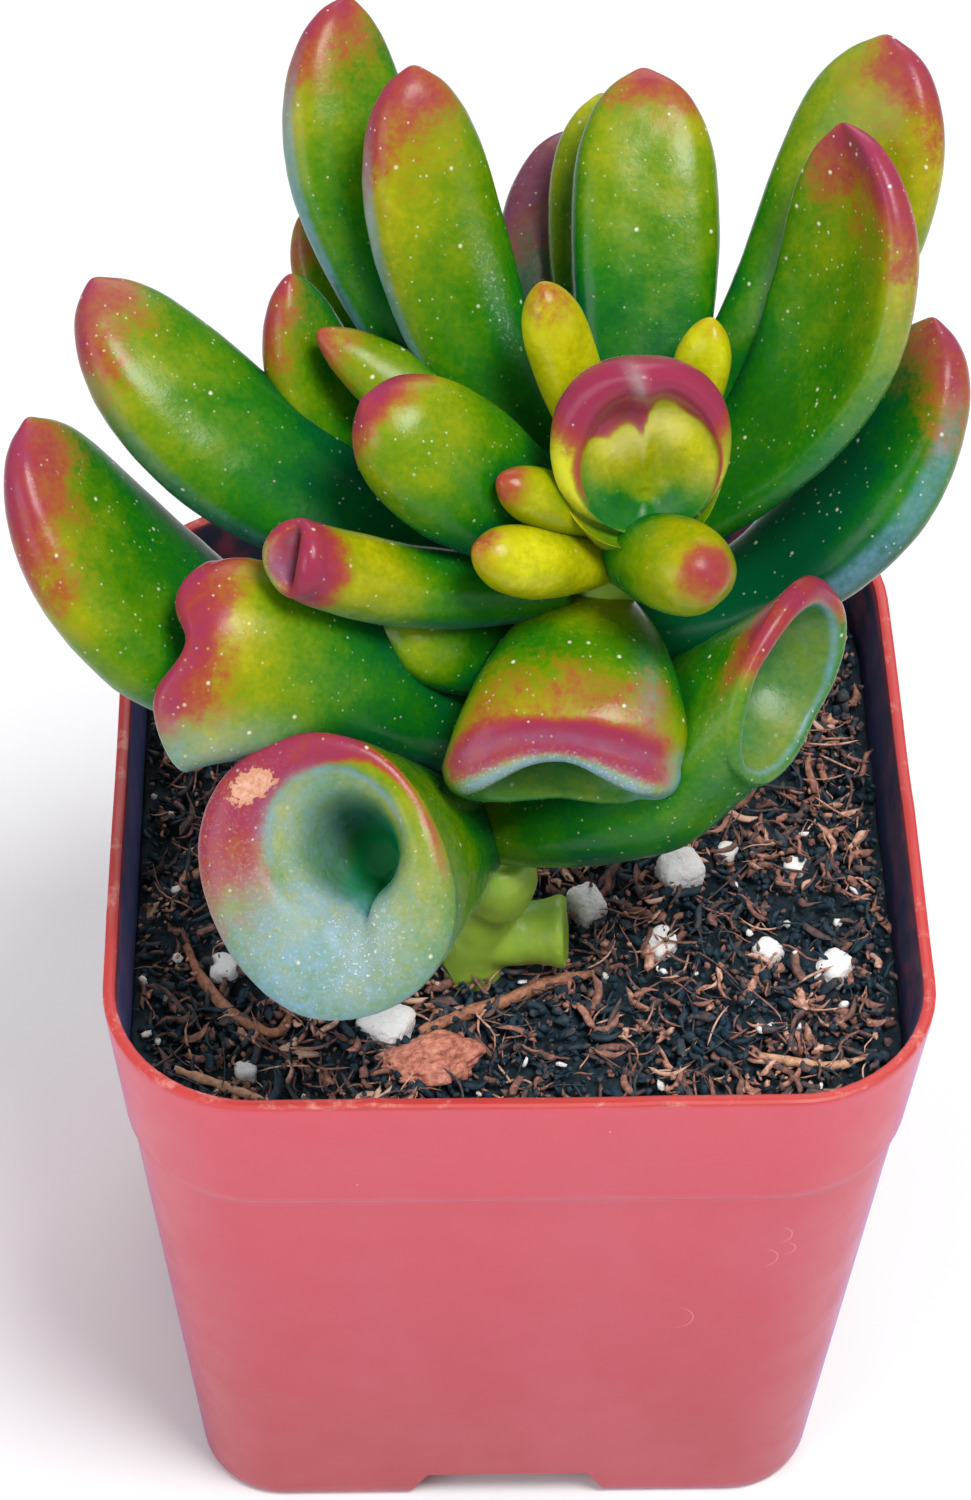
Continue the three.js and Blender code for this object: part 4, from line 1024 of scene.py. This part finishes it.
def make_stem():
    main = tube([at for at, _ in STEM], [radius for _, radius in STEM], 28, 90)
    start, end = np.array(STUMP["start"]), np.array(STUMP["end"])
    stump = tube([start + (end - start) * mark for mark, _ in STUMP["marks"]],
                 [STUMP["radius"] * share for _, share in STUMP["marks"]], 28, 40)
    knob = tube([np.array(KNOB["at"]) + step for step, _ in KNOB["steps"]],
                [radius for _, radius in KNOB["steps"]], 24, 24)
    piece = join_meshes("stem_skin", [main, stump, knob])
    face_out(piece)
    remesh(piece, STEM_VOXEL, STEM_SMOOTHING)
    piece.data.materials.append(stem_material())
    swell(piece, 0.12, 2.5, 31.0, 2)
    points, normals = mesh_arrays(piece)
    # The stem's colour is painted lighter where sky light reaches it and darker where the leaves shade it
    paint(piece, glow=0.46 + 0.5 * sunlight(points, normals, 0.9))
    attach(piece, "root")
    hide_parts("stem")


make_stem()


# The pot

def pot_outline(half, corner, corner_steps=14, side_steps=22):
    ring = []
    for quarter in range(4):
        turn = quarter * math.pi / 2
        c, s = math.cos(turn), math.sin(turn)
        corner_angles = np.linspace(0, math.pi / 2, corner_steps)
        middle = half - corner
        xy = [(middle + corner * math.cos(a), middle + corner * math.sin(a)) for a in corner_angles]
        xy += [(x, half) for x in np.linspace(middle, -middle, side_steps + 2)[1:-1]]
        ring += [(x * c - y * s, x * s + y * c) for x, y in xy]
    return np.array(ring)


def pot_side(z):
    share = z / POT_HEIGHT
    half = (POT_BASE_WIDTH + (POT_RIM_WIDTH - POT_BASE_WIDTH) * share) / 2
    half = half - SHOULDER_STEP * smooth((SHOULDER_HEIGHT - z) / 0.6)
    return half, POT_BASE_CORNER + (POT_RIM_CORNER - POT_BASE_CORNER) * share


def within(x, y, half, corner):
    """How far places lie out from the middle of the nearest rounded corner of a square."""
    return np.hypot(*(np.maximum(np.abs(along) - (half - corner), 0) for along in (x, y)))


def pot_ring(z, inset):
    half, corner = pot_side(z)
    xy = pot_outline(half - inset, max(corner - inset, 1))
    ring = np.column_stack([xy, np.full(len(xy), z)])
    return ring + rim_waver(ring)


# Where the rim has burrs, from which height on the wall stands out of true, and from where the rim waves
RIM_BURRS = [(-9.8, -28.4), (9.4, -28.4), (28.4, -3.0), (-28.4, -12.0)]
WAVER_FROM = 30
RIM_WAVES_FROM = 52


def rim_waver(ring):
    """How far the thin wall and rim stand out of true, more towards the top."""
    flat = ring * (1, 1, 0)
    push = rise(ring[:, 2], WAVER_FROM, POT_HEIGHT - WAVER_FROM) * 0.16 * field(flat, 17, 41)
    burrs = sum(0.3 * np.exp(-((ring[:, 0] - x) ** 2 + (ring[:, 1] - y) ** 2) / 0.7) for x, y in RIM_BURRS)
    high = rise(ring[:, 2], RIM_WAVES_FROM, POT_HEIGHT - RIM_WAVES_FROM)
    lift = high * (0.22 * field(flat, 14, 43) + 0.08 * field(flat, 3.5, 44)) + high ** 6 * burrs
    return unit(flat) * push[:, None] + np.array([0, 0, 1.0]) * lift[:, None]


# The foot's rounding: height, and share of its inset; the rim's rounding: height from its top, and inset
FOOT_ROUND = [(0.0, 1), (0.1, 0.5), (0.35, 0.16), (FOOT_ROUNDING, 0)]
RIM_ROUND = [(-0.35, 0.0), (-0.12, 0.06), (0.0, 0.26)]


def pot_rows():
    """Heights and insets up the outside of the pot."""
    foot = [(z, FOOT_ROUNDING * share) for z, share in FOOT_ROUND]
    wall = [(z, 0.0) for z in np.linspace(1.6, SHOULDER_HEIGHT - 1.2, 44)]
    step = [(SHOULDER_HEIGHT + dz, 0.0) for dz in (-0.6, -0.4, -0.2, 0.0)]
    band = [(z, 0.0) for z in np.linspace(SHOULDER_HEIGHT + 0.6, POT_HEIGHT - 0.9, 14)]
    return foot + wall + step + band + [(POT_HEIGHT + dz, inset) for dz, inset in RIM_ROUND]


def loft(name, rows):
    rings = np.array([pot_ring(z, inset) for z, inset in rows])
    centre = lambda ring: np.array([[0, 0, ring[0, 2]]])
    points = np.concatenate([centre(rings[0]), rings.reshape(-1, 3), centre(rings[-1])])
    return new_object(name, points, ring_faces(*rings.shape[:2]), smooth_shading=False)


def solid_box(name, low, high):
    piece = new_object(name, np.zeros((0, 3)), [])
    build = bmesh.new()
    bmesh.ops.create_cube(build, size=1.0)
    size = np.array(high, float) - np.array(low, float)
    for v in build.verts:
        v.co = Vector(((np.array(v.co) + 0.5) * size + np.array(low)) * MM)
    build.to_mesh(piece.data)
    build.free()
    return piece


def solid_post(name, radius, low, high, x, y, sides=48):
    points = [(x + radius * math.cos(a), y + radius * math.sin(a), z)
              for z in (low, high) for a in angles_round(sides)]
    faces = [[k, (k + 1) % sides, sides + (k + 1) % sides, sides + k] for k in range(sides)]
    faces += [list(range(sides))[::-1], list(range(sides, 2 * sides))]
    return new_object(name, points, faces, smooth_shading=False)


def solid_channel(name, along_x):
    """The channel under the floor, wider at the bottom."""
    low = ARCH_HALF_WIDTH + 2 * ARCH_FLARE
    shape = [(-low, -ARCH_HEIGHT), (low, -ARCH_HEIGHT),
             (ARCH_HALF_WIDTH, ARCH_HEIGHT), (-ARCH_HALF_WIDTH, ARCH_HEIGHT)]
    reach = POT_RIM_WIDTH / 2
    points = [(end, a, b) if along_x else (a, -end, b) for end in (-reach, reach) for a, b in shape]
    faces = [[0, 1, 5, 4], [1, 2, 6, 5], [2, 3, 7, 6], [3, 0, 4, 7], [3, 2, 1, 0], [4, 5, 6, 7]]
    return new_object(name, points, faces, smooth_shading=False)


def combine(target, tool, operation):
    face_out(target)
    face_out(tool)
    step = target.modifiers.new("combine", "BOOLEAN")
    step.operation = operation
    step.solver = "MANIFOLD"
    step.object = tool
    apply_modifiers(target)
    bpy.data.objects.remove(tool)
    return target


# Curved scratches on the front: place across and up, and radius of the bow, in millimetres
POT_SCRATCHES = [(18.2, 39.6, 1.1), (18.9, 37.6, 0.8), (17.2, 36.6, 1.3), (11.4, 28.0, 1.6)]


def pot_scratch(s, place, across, up, radius):
    """A thin bow on the front wall, fading towards its ends."""
    x = s.math("SUBTRACT", place["X"], across * MM)
    z = s.math("SUBTRACT", place["Z"], up * MM)
    far = s.math("SQRT", s.plus(s.times(x, x), s.times(z, z)))
    off = s.math("ABSOLUTE", s.math("SUBTRACT", far, radius * MM))
    line = s.span(off, 0.02 * MM, 0.08 * MM, 1.0, 0.0)
    bow = s.span(x, radius * 0.1 * MM, radius * 0.8 * MM)
    front = s.span(place["Y"], -22 * MM, -20 * MM, 1.0, 0.0)
    return s.times(s.times(line, bow), s.times(front, 0.5))


def pot_material():
    s = Shader(
        "pot_plastic", 0.36, Specular_IOR_Level=0.4, Sheen_Weight=0.46, Sheen_Roughness=0.2,
        Sheen_Tint=rgb(150, 168, 255), Subsurface_Weight=0.05, Subsurface_Scale=0.001,
    )
    place = s.node("SeparateXYZ", {0: s.place}).outputs
    # Painted shade and light: the plastic is painted darker towards the foot and lighter towards the rim
    body = s.ramp(s.span(place["Z"], 0.0, POT_HEIGHT * MM, soft=False), stops(
        (0.0, 176, 56, 62), (0.5, 200, 66, 82), (0.78, 212, 72, 88), (1.0, 222, 78, 94),
    ))
    clouds = s.noise(9.0, 3, 0.5, place=s.stretched((1, 1, 0.6)))
    body = s.mix(s.span(clouds, 0.35, 0.7, 0.0, 0.25), body, rgb(206, 86, 112))
    rim = s.span(place["Z"], (POT_HEIGHT - 0.5) * MM, (POT_HEIGHT - 0.1) * MM)
    body = s.mix(rim, body, rgb(196, 64, 62))
    worn = s.span(s.noise(1.1, 5, 0.72, place=s.stretched((0.4, 0.4, 1.0))), 0.54, 0.66, 0.0, 0.5)
    body = s.mix(s.times(rim, worn), body, rgb(226, 158, 146))
    # Painted shade: the inside wall below the rim is painted a dark navy
    painted_inner_shade = s.times(s.attribute("inner"), s.span(s.noise(2.5, 4, 0.6), 0.3, 0.6, 0.75, 1.0))
    body = s.mix(painted_inner_shade, body, rgb(44, 52, 68))
    for across, up, radius in POT_SCRATCHES:
        body = s.mix(pot_scratch(s, place, across, up, radius), body, rgb(238, 150, 158))
    dust = s.times(s.dots(2.6, 0.02, 0.05, 0.11, 0.01, 5.3), 0.5)
    body = s.mix(dust, body, rgb(244, 190, 190))
    fine = s.bump(s.noise(0.5, 3, 0.5), 0.02, 0.35)
    s.bump(s.noise(12.0, 3, 0.5, place=s.stretched((1, 1, 0.5))), 0.35, 0.3, fine)
    return s.finish(body, s.level(s.noise(4.0, 4, 0.6), 0.3, 0.44))


def make_pot():
    outer_rows = pot_rows()
    inner_wall = [(z, POT_WALL) for z in np.linspace(POT_HEIGHT - 1.2, FOOT_ROUNDING + POT_WALL, 40)]
    inner_rim = [(POT_HEIGHT + dz, POT_WALL - inset) for dz, inset in reversed(RIM_ROUND)]
    pot = loft("pot_body", outer_rows + inner_rim + inner_wall + [(POT_FLOOR, POT_WALL + FOOT_ROUNDING)])
    ridge = ARCH_HALF_WIDTH + ARCH_FLARE + POT_WALL
    top = ARCH_HEIGHT + POT_FLOOR
    reach = POT_RIM_WIDTH / 2
    ridges = combine(
        solid_box("ridges", (-reach, -ridge, 0), (reach, ridge, top)),
        solid_box("ridge", (-ridge, -reach, 0), (ridge, reach, top)), "UNION",
    )
    combine(ridges, loft("outside", outer_rows), "INTERSECT")
    combine(pot, ridges, "UNION")
    for along_x in (True, False):
        combine(pot, solid_channel("channel", along_x), "DIFFERENCE")
    combine(pot, solid_post("pad", PAD_RADIUS, 0, ARCH_HEIGHT + 0.5, 0, 0), "UNION")
    for x in (-DRAIN_OFFSET, DRAIN_OFFSET):
        for y in (-DRAIN_OFFSET, DRAIN_OFFSET):
            combine(pot, solid_post("drain", DRAIN_RADIUS, -1, POT_FLOOR + 1, x, y), "DIFFERENCE")
    pot.data.shade_smooth()
    pot.data.set_sharp_from_angle(angle=math.radians(32))
    pot.data.materials.clear()
    pot.data.materials.append(pot_material())
    points, _ = mesh_arrays(pot)
    half, corner = pot_side(points[:, 2])
    inward = corner - within(points[:, 0], points[:, 1], half, corner)
    below_rim = smooth((POT_HEIGHT - 0.1 - points[:, 2]) / 0.35)
    # The inside wall below the rim, where the painted shade goes
    paint(pot, inner=rise(inward, POT_WALL * 0.55, 0.2) * below_rim)
    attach(pot, "root")
    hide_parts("pot")


make_pot()


# The potting mix and what lies in it

def soil_height(x, y):
    waves = (np.sin(x * 0.41 + 1.3) * np.cos(y * 0.37 - 0.4) + 0.6 * np.sin(x * 0.9 - y * 0.7)
             + 0.4 * np.cos(x * 1.7 + y * 1.3))
    return SOIL_LEVEL + SOIL_RELIEF * 0.5 * waves


def soil_material():
    s = Shader("potting_mix", 0.75, Specular_IOR_Level=0.35)
    colour = s.ramp(s.noise(0.9, 5, 0.7), stops(
        (0.3, 8, 28, 40), (0.5, 20, 42, 54), (0.62, 44, 54, 62), (0.76, 92, 72, 66),
    ))
    s.bump(s.noise(0.35, 5, 0.7), 0.3, 1.0)
    return s.finish(colour)


def shred_material():
    s = Shader("coir", 0.7, Specular_IOR_Level=0.35)
    tone = s.plus(s.attribute("tone"), s.level(s.noise(0.4, 3, 0.6), -0.12, 0.12), True)
    colour = s.ramp(tone, stops(
        (0.0, 8, 30, 44), (0.3, 22, 50, 66), (0.48, 48, 62, 72), (0.66, 108, 80, 74),
        (0.82, 156, 106, 92), (0.93, 192, 138, 118), (1.0, 218, 176, 154),
    ))
    s.bump(s.noise(0.25, 4, 0.6), 0.08, 0.8)
    return s.finish(colour)


def fibre_material(name, dark, light):
    s = Shader(name, 0.65, Specular_IOR_Level=0.35)
    grain = s.noise(0.5, 4, 0.65)
    s.bump(grain, 0.12, 0.8)
    return s.finish(s.ramp(grain, stops((0.3, *dark), (0.7, *light))))


def perlite_material():
    s = Shader("perlite", 0.8, Specular_IOR_Level=0.3, Subsurface_Weight=0.1, Subsurface_Scale=0.001)
    colour = s.ramp(s.noise(0.8, 5, 0.7), stops(
        (0.3, 206, 192, 186), (0.38, 250, 242, 238), (0.6, 255, 253, 252),
    ))
    # Painted shade: small dark dots in the pits
    pits = s.span(s.cells(0.42)["Distance"], 0.05, 0.2, 0.35, 0.0)
    colour = s.mix(pits, colour, rgb(140, 122, 118))
    s.bump(s.noise(0.22, 4, 0.7), 0.15, 0.9)
    return s.finish(colour)


def in_pot(x, y, margin):
    """Whether places lie within the pot's inside at the mix's level, less a margin."""
    half, corner = pot_side(SOIL_LEVEL)
    return within(x, y, half - POT_WALL - margin, corner) < corner


def make_soil():
    clear = POT_WALL + GAP
    bottom = ARCH_HEIGHT + POT_FLOOR + GAP

    def outline(z, inset):
        half, corner = pot_side(z)
        return pot_outline(half - inset, corner - inset, 20, 30)

    edge = outline(SOIL_LEVEL, clear)
    rings = [
        np.column_stack([outline(z, inset), np.full(len(edge), z)])
        for z, inset in ((bottom, clear + 1.2), (bottom + 2, clear), (SHOULDER_HEIGHT - 1.2, clear),
                         (SHOULDER_HEIGHT, clear))
    ]
    for share in np.linspace(1, 0.012, SOIL_RINGS):
        flat = edge * share
        z = soil_height(flat[:, 0], flat[:, 1]) - SOIL_EDGE_DROP * (share == 1)
        spots = np.column_stack([flat, np.zeros(len(flat))])
        rough = 0.75 * field(spots, 2.6, 51, 3) + 0.35 * np.abs(field(spots, 0.9, 52, 2))
        rings.append(np.column_stack([flat, z - SOIL_SETTLED + rough * (share < 1)]))
    rings = np.array(rings)
    start = np.array([[0, 0, bottom]])
    end = np.array([[0, 0, rings[-1][:, 2].mean()]])
    points = np.concatenate([start, rings.reshape(-1, 3), end])
    piece = new_object("soil_body", points, ring_faces(*rings.shape[:2]), [soil_material()])
    face_out(piece)
    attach(piece, "root")
    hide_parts("soil")


def ball(detail):
    """Corners and faces of a round ball of triangles."""
    build = bmesh.new()
    bmesh.ops.create_icosphere(build, subdivisions=detail, radius=1.0)
    points = np.array([v.co for v in build.verts])
    faces = np.array([[v.index for v in f.verts] for f in build.faces])
    build.free()
    return points, faces


def rod(sections, sides):
    """Corners and faces of a thin rod of length 2 along x, pointed at its ends."""
    s = np.linspace(-1, 1, sections)
    angle = angles_round(sides)
    thin = np.sqrt(np.maximum(1 - s ** 6, 0.02))
    y, z = (way(angle)[None] * thin[:, None] for way in (np.cos, np.sin))
    rings = np.stack([np.repeat(s[:, None], sides, 1), y, z], -1)
    points = np.concatenate([[(-1, 0, 0)], rings.reshape(-1, 3), [(1, 0, 0)]])
    faces = []
    for face in ring_faces(sections, sides):
        faces.append(face[:3])
        if len(face) == 4:
            faces.append([face[0], face[2], face[3]])
    return points, np.array(faces)


def spin(points, first, second, turn):
    """Turns points about an axis, from one coordinate towards another."""
    a, b = points[..., first].copy(), points[..., second].copy()
    points[..., first] = a * np.cos(turn) - b * np.sin(turn)
    points[..., second] = a * np.sin(turn) + b * np.cos(turn)


def scatter(name, template, count, seed, half_sizes, bend, tilt, sink, tones, margin, material, lumpy=0.0,
            clumps=0.0):
    """Many small bits lying on the mix, as one piece. Sizes are (least, most) half length, width, height."""
    draw = np.random.default_rng(seed)
    points, faces = template
    places = draw.uniform(-SCATTER_REACH, SCATTER_REACH, (count * 3, 2))
    places = places[in_pot(places[:, 0], places[:, 1], margin)][:count]
    n = len(places)
    size = np.stack([draw.uniform(low, high, n) for low, high in half_sizes], 1)
    bits = np.repeat(points[None], n, 0)
    if lumpy:
        bits = bits * (1 + lumpy * draw.uniform(-1, 1, (n, len(points), 1)))
    bits = bits * size[:, None]
    along = bits[..., 0] / size[:, None, 0]
    curve = draw.normal(0, 1, (n, 3, 1)) * bend * size[:, :1, None]
    bits[..., 1] += curve[:, 0] * along ** 2 + curve[:, 1] * along ** 3
    bits[..., 2] += np.abs(curve[:, 2]) * 0.6 * along ** 2
    yaw = draw.uniform(0, 2 * math.pi, (n, 1))
    pitch, roll = draw.normal(0, tilt, (n, 1)), draw.normal(0, tilt * 1.5, (n, 1))
    spin(bits, 1, 2, roll)
    spin(bits, 0, 2, pitch)
    spin(bits, 0, 1, yaw)
    bits[..., :2] += places[:, None]
    ground = soil_height(places[:, 0], places[:, 1])
    bits[..., 2] += (ground + draw.uniform(*sink, n))[:, None]
    inside = in_pot(bits[..., 0], bits[..., 1], WALL_MARGIN).all(1)
    bits = bits[inside]
    tone = draw.uniform(*tones, n) + clumps * field(np.column_stack([places, np.zeros(n)]), 5.0, 61, 2)
    n = len(bits)
    all_faces = (faces[None] + (np.arange(n) * len(points))[:, None, None]).reshape(-1, 3)
    piece = new_object(name, bits.reshape(-1, 3), all_faces.tolist(), [material])
    paint(piece, tone=np.repeat(tone[inside], len(points)))
    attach(piece, "root")


def make_perlite(index, material):
    (x, y), size, tall = PERLITE[index]
    points, faces = ball(5 if size > PERLITE_FINE_FROM else 4)
    blocky = (np.abs(points) ** PERLITE_SQUARE).sum(1) ** (-1 / PERLITE_SQUARE)
    seed = 60 + index * 1.37
    crag = 1 + 0.14 * field(points, 0.9, seed) + 0.09 * np.abs(field(points, 0.35, seed + 0.3, 2))
    pits = np.minimum(field(points, 0.16, seed + 0.6) + 0.25, 0) * 0.12
    shape = points * (np.minimum(blocky, 1.3) * crag + pits)[:, None] * 0.86
    shape = shape * (size, size * 0.92, size * tall)
    shape[:, 2] += 0.25 * math.sin(index * 2.1) * shape[:, 0] * 0.5
    spin(shape, 0, 1, index * 1.7 + 0.4)
    z = soil_height(x, y) + size * tall * PERLITE_RISE
    name = "perlite_" + str(index + 1)
    piece = new_object(name + "_lump", shape + (x, y, z), faces.tolist(), [material])
    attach(piece, "root")
    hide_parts(name)


def make_bark():
    points, faces = ball(5)
    crag = (1 + 0.3 * field(points, 0.9, 71) + 0.22 * np.abs(field(points, 0.4, 72, 2))
            - 0.2 * np.maximum(field(points, 0.22, 73, 2), 0))
    shape = points * crag[:, None] * BARK["size"]
    spin(shape, 0, 1, math.radians(BARK["turn"]))
    x, y = BARK["at"]
    z = soil_height(x, y) + BARK["size"][2] * BARK_RISE
    piece = new_object("bark_crumb", shape + (x, y, z), faces.tolist(),
                       [fibre_material("bark", (150, 76, 62), (226, 152, 128))])
    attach(piece, "root")
    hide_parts("bark_piece")


def make_twig(name, points, radius, seed, material):
    path = [(x, y, soil_height(x, y) + radius * 0.5 + TWIG_RISE) for x, y in points]
    radii = [radius * share for share in TWIG_TAPER]
    piece = new_object(name + "_strand", *tube(path, radii, 14, 60), [material])
    face_out(piece)
    swell(piece, 0.14, 1.1, seed, 2)
    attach(piece, "root")
    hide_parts(name)


make_soil()

# Bits on the mix: template, how many, seed, half sizes, bend, tilt, height, tones, margin to the wall,
# material, how lumpy they are and how much their tones gather in clumps
COIR = shred_material()
ROD = rod(7, 5)
CRUMB = ball(1)
scatter("mix_clods", CRUMB, 2600, 1, [(0.18, 0.66), (0.16, 0.5), (0.14, 0.42)], 0.1, 0.6, (-0.3, 0.75),
        (0.02, 0.6), 0.8, COIR, 0.62, 0.3)
scatter("mix_chips", ROD, 1500, 2, [(0.4, 1.5), (0.16, 0.4), (0.1, 0.24)], 0.34, 0.4, (0.1, 1.0),
        (0.36, 0.96), 0.8, COIR, 0.14, 0.4)
scatter("mix_grit", CRUMB, 4800, 4, [(0.1, 0.36), (0.08, 0.3), (0.08, 0.24)], 0.0, 0.6, (0.1, 1.1),
        (0.2, 0.85), 0.7, COIR, 0.4, 0.4)
scatter("mix_fibres", ROD, 1000, 3, [(0.6, 2.4), (0.05, 0.13), (0.05, 0.11)], 0.26, 0.26, (0.2, 1.15),
        (0.4, 1.0), 1.0, COIR)
PERLITE_WHITE = perlite_material()
for lump in range(len(PERLITE)):
    make_perlite(lump, PERLITE_WHITE)
scatter("perlite_crumbs", CRUMB, 120, 5, [(0.16, 0.5), (0.16, 0.42), (0.14, 0.34)], 0.0, 0.6, (0.3, 1.0),
        (0.5, 0.5), 1.0, PERLITE_WHITE, 0.3)
make_bark()
TWIG_BROWN = fibre_material("twig", (120, 70, 56), (196, 136, 104))
FIBRE_PALE = fibre_material("pale_fibre", (170, 116, 88), (228, 184, 150))
for twig_seed, (twig_name, (twig_points, twig_radius)) in enumerate(TWIGS.items()):
    make_twig(twig_name, twig_points, twig_radius, 81 + twig_seed,
              FIBRE_PALE if twig_name.startswith("fibre") else TWIG_BROWN)


# The floor, the lights and the camera

FLOOR = 900


def make_floor():
    s = Shader("floor", 0.6, Specular_IOR_Level=0.2)
    colour = s.mix(s.span(s.noise(60.0, 3), 0.3, 0.7), rgb(240, 241, 243), rgb(245, 246, 247))
    corners = [(-FLOOR, -FLOOR, 0), (FLOOR, -FLOOR, 0), (FLOOR, FLOOR, 0), (-FLOOR, FLOOR, 0)]
    floor = new_object("floor", corners, [[0, 1, 2, 3]], [s.finish(colour)])


def area_light(name, at_mm, size_mm, watts, colour, target=(0, 0, 70)):
    light = bpy.data.lights.new(name, "AREA")
    light.shape = "DISK"
    light.size = size_mm * MM
    light.energy = watts
    light.color = colour
    lamp = bpy.data.objects.new(name, light)
    lamp.location = Vector(at_mm) * MM
    lamp.rotation_mode = "QUATERNION"
    lamp.rotation_quaternion = (Vector(target) - Vector(at_mm)).to_track_quat("-Z", "Y")
    bpy.context.scene.collection.objects.link(lamp)


def make_world():
    world = bpy.data.worlds.new("studio")
    world.use_nodes = True
    back = world.node_tree.nodes["Background"]
    back.inputs["Color"].default_value = (0.9, 0.95, 1.0, 1.0)
    back.inputs["Strength"].default_value = 0.4
    bpy.context.scene.world = world


# The photograph's view point, fitted to the pot's outline, in millimetres
CAMERA_AT = (-8.551, -179.363, 263.122)
CAMERA_FORWARD = (0.02418828, 0.663604, -0.74769289)
CAMERA_UP = (0.0065273, 0.74779094, 0.66390218)
CAMERA_LENS = 91.82


def make_camera():
    view = bpy.data.cameras.new("camera")
    view.sensor_width = 36.0
    view.lens = CAMERA_LENS
    view.clip_start = 0.02
    view.clip_end = 10.0
    camera = bpy.data.objects.new("camera", view)
    forward = Vector(CAMERA_FORWARD).normalized()
    up = Vector(CAMERA_UP).normalized()
    right = forward.cross(up)
    turn = Matrix((right, up, -forward)).transposed().to_4x4()
    camera.matrix_world = Matrix.Translation(Vector(CAMERA_AT) * MM) @ turn
    bpy.context.scene.collection.objects.link(camera)
    bpy.context.scene.camera = camera


make_floor()
make_world()
area_light("key", (150, -150, 580), 210, 2.7, (1.0, 0.985, 0.96))
area_light("fill", (-320, -240, 320), 300, 0.8, (0.92, 0.96, 1.0))
area_light("side", (430, -270, 240), 240, 0.12, (1.0, 1.0, 1.0), (0, 0, 80))
area_light("back", (60, 380, 380), 300, 0.6, (1.0, 1.0, 1.0))
make_camera()
bpy.context.scene.view_settings.view_transform = "Standard"
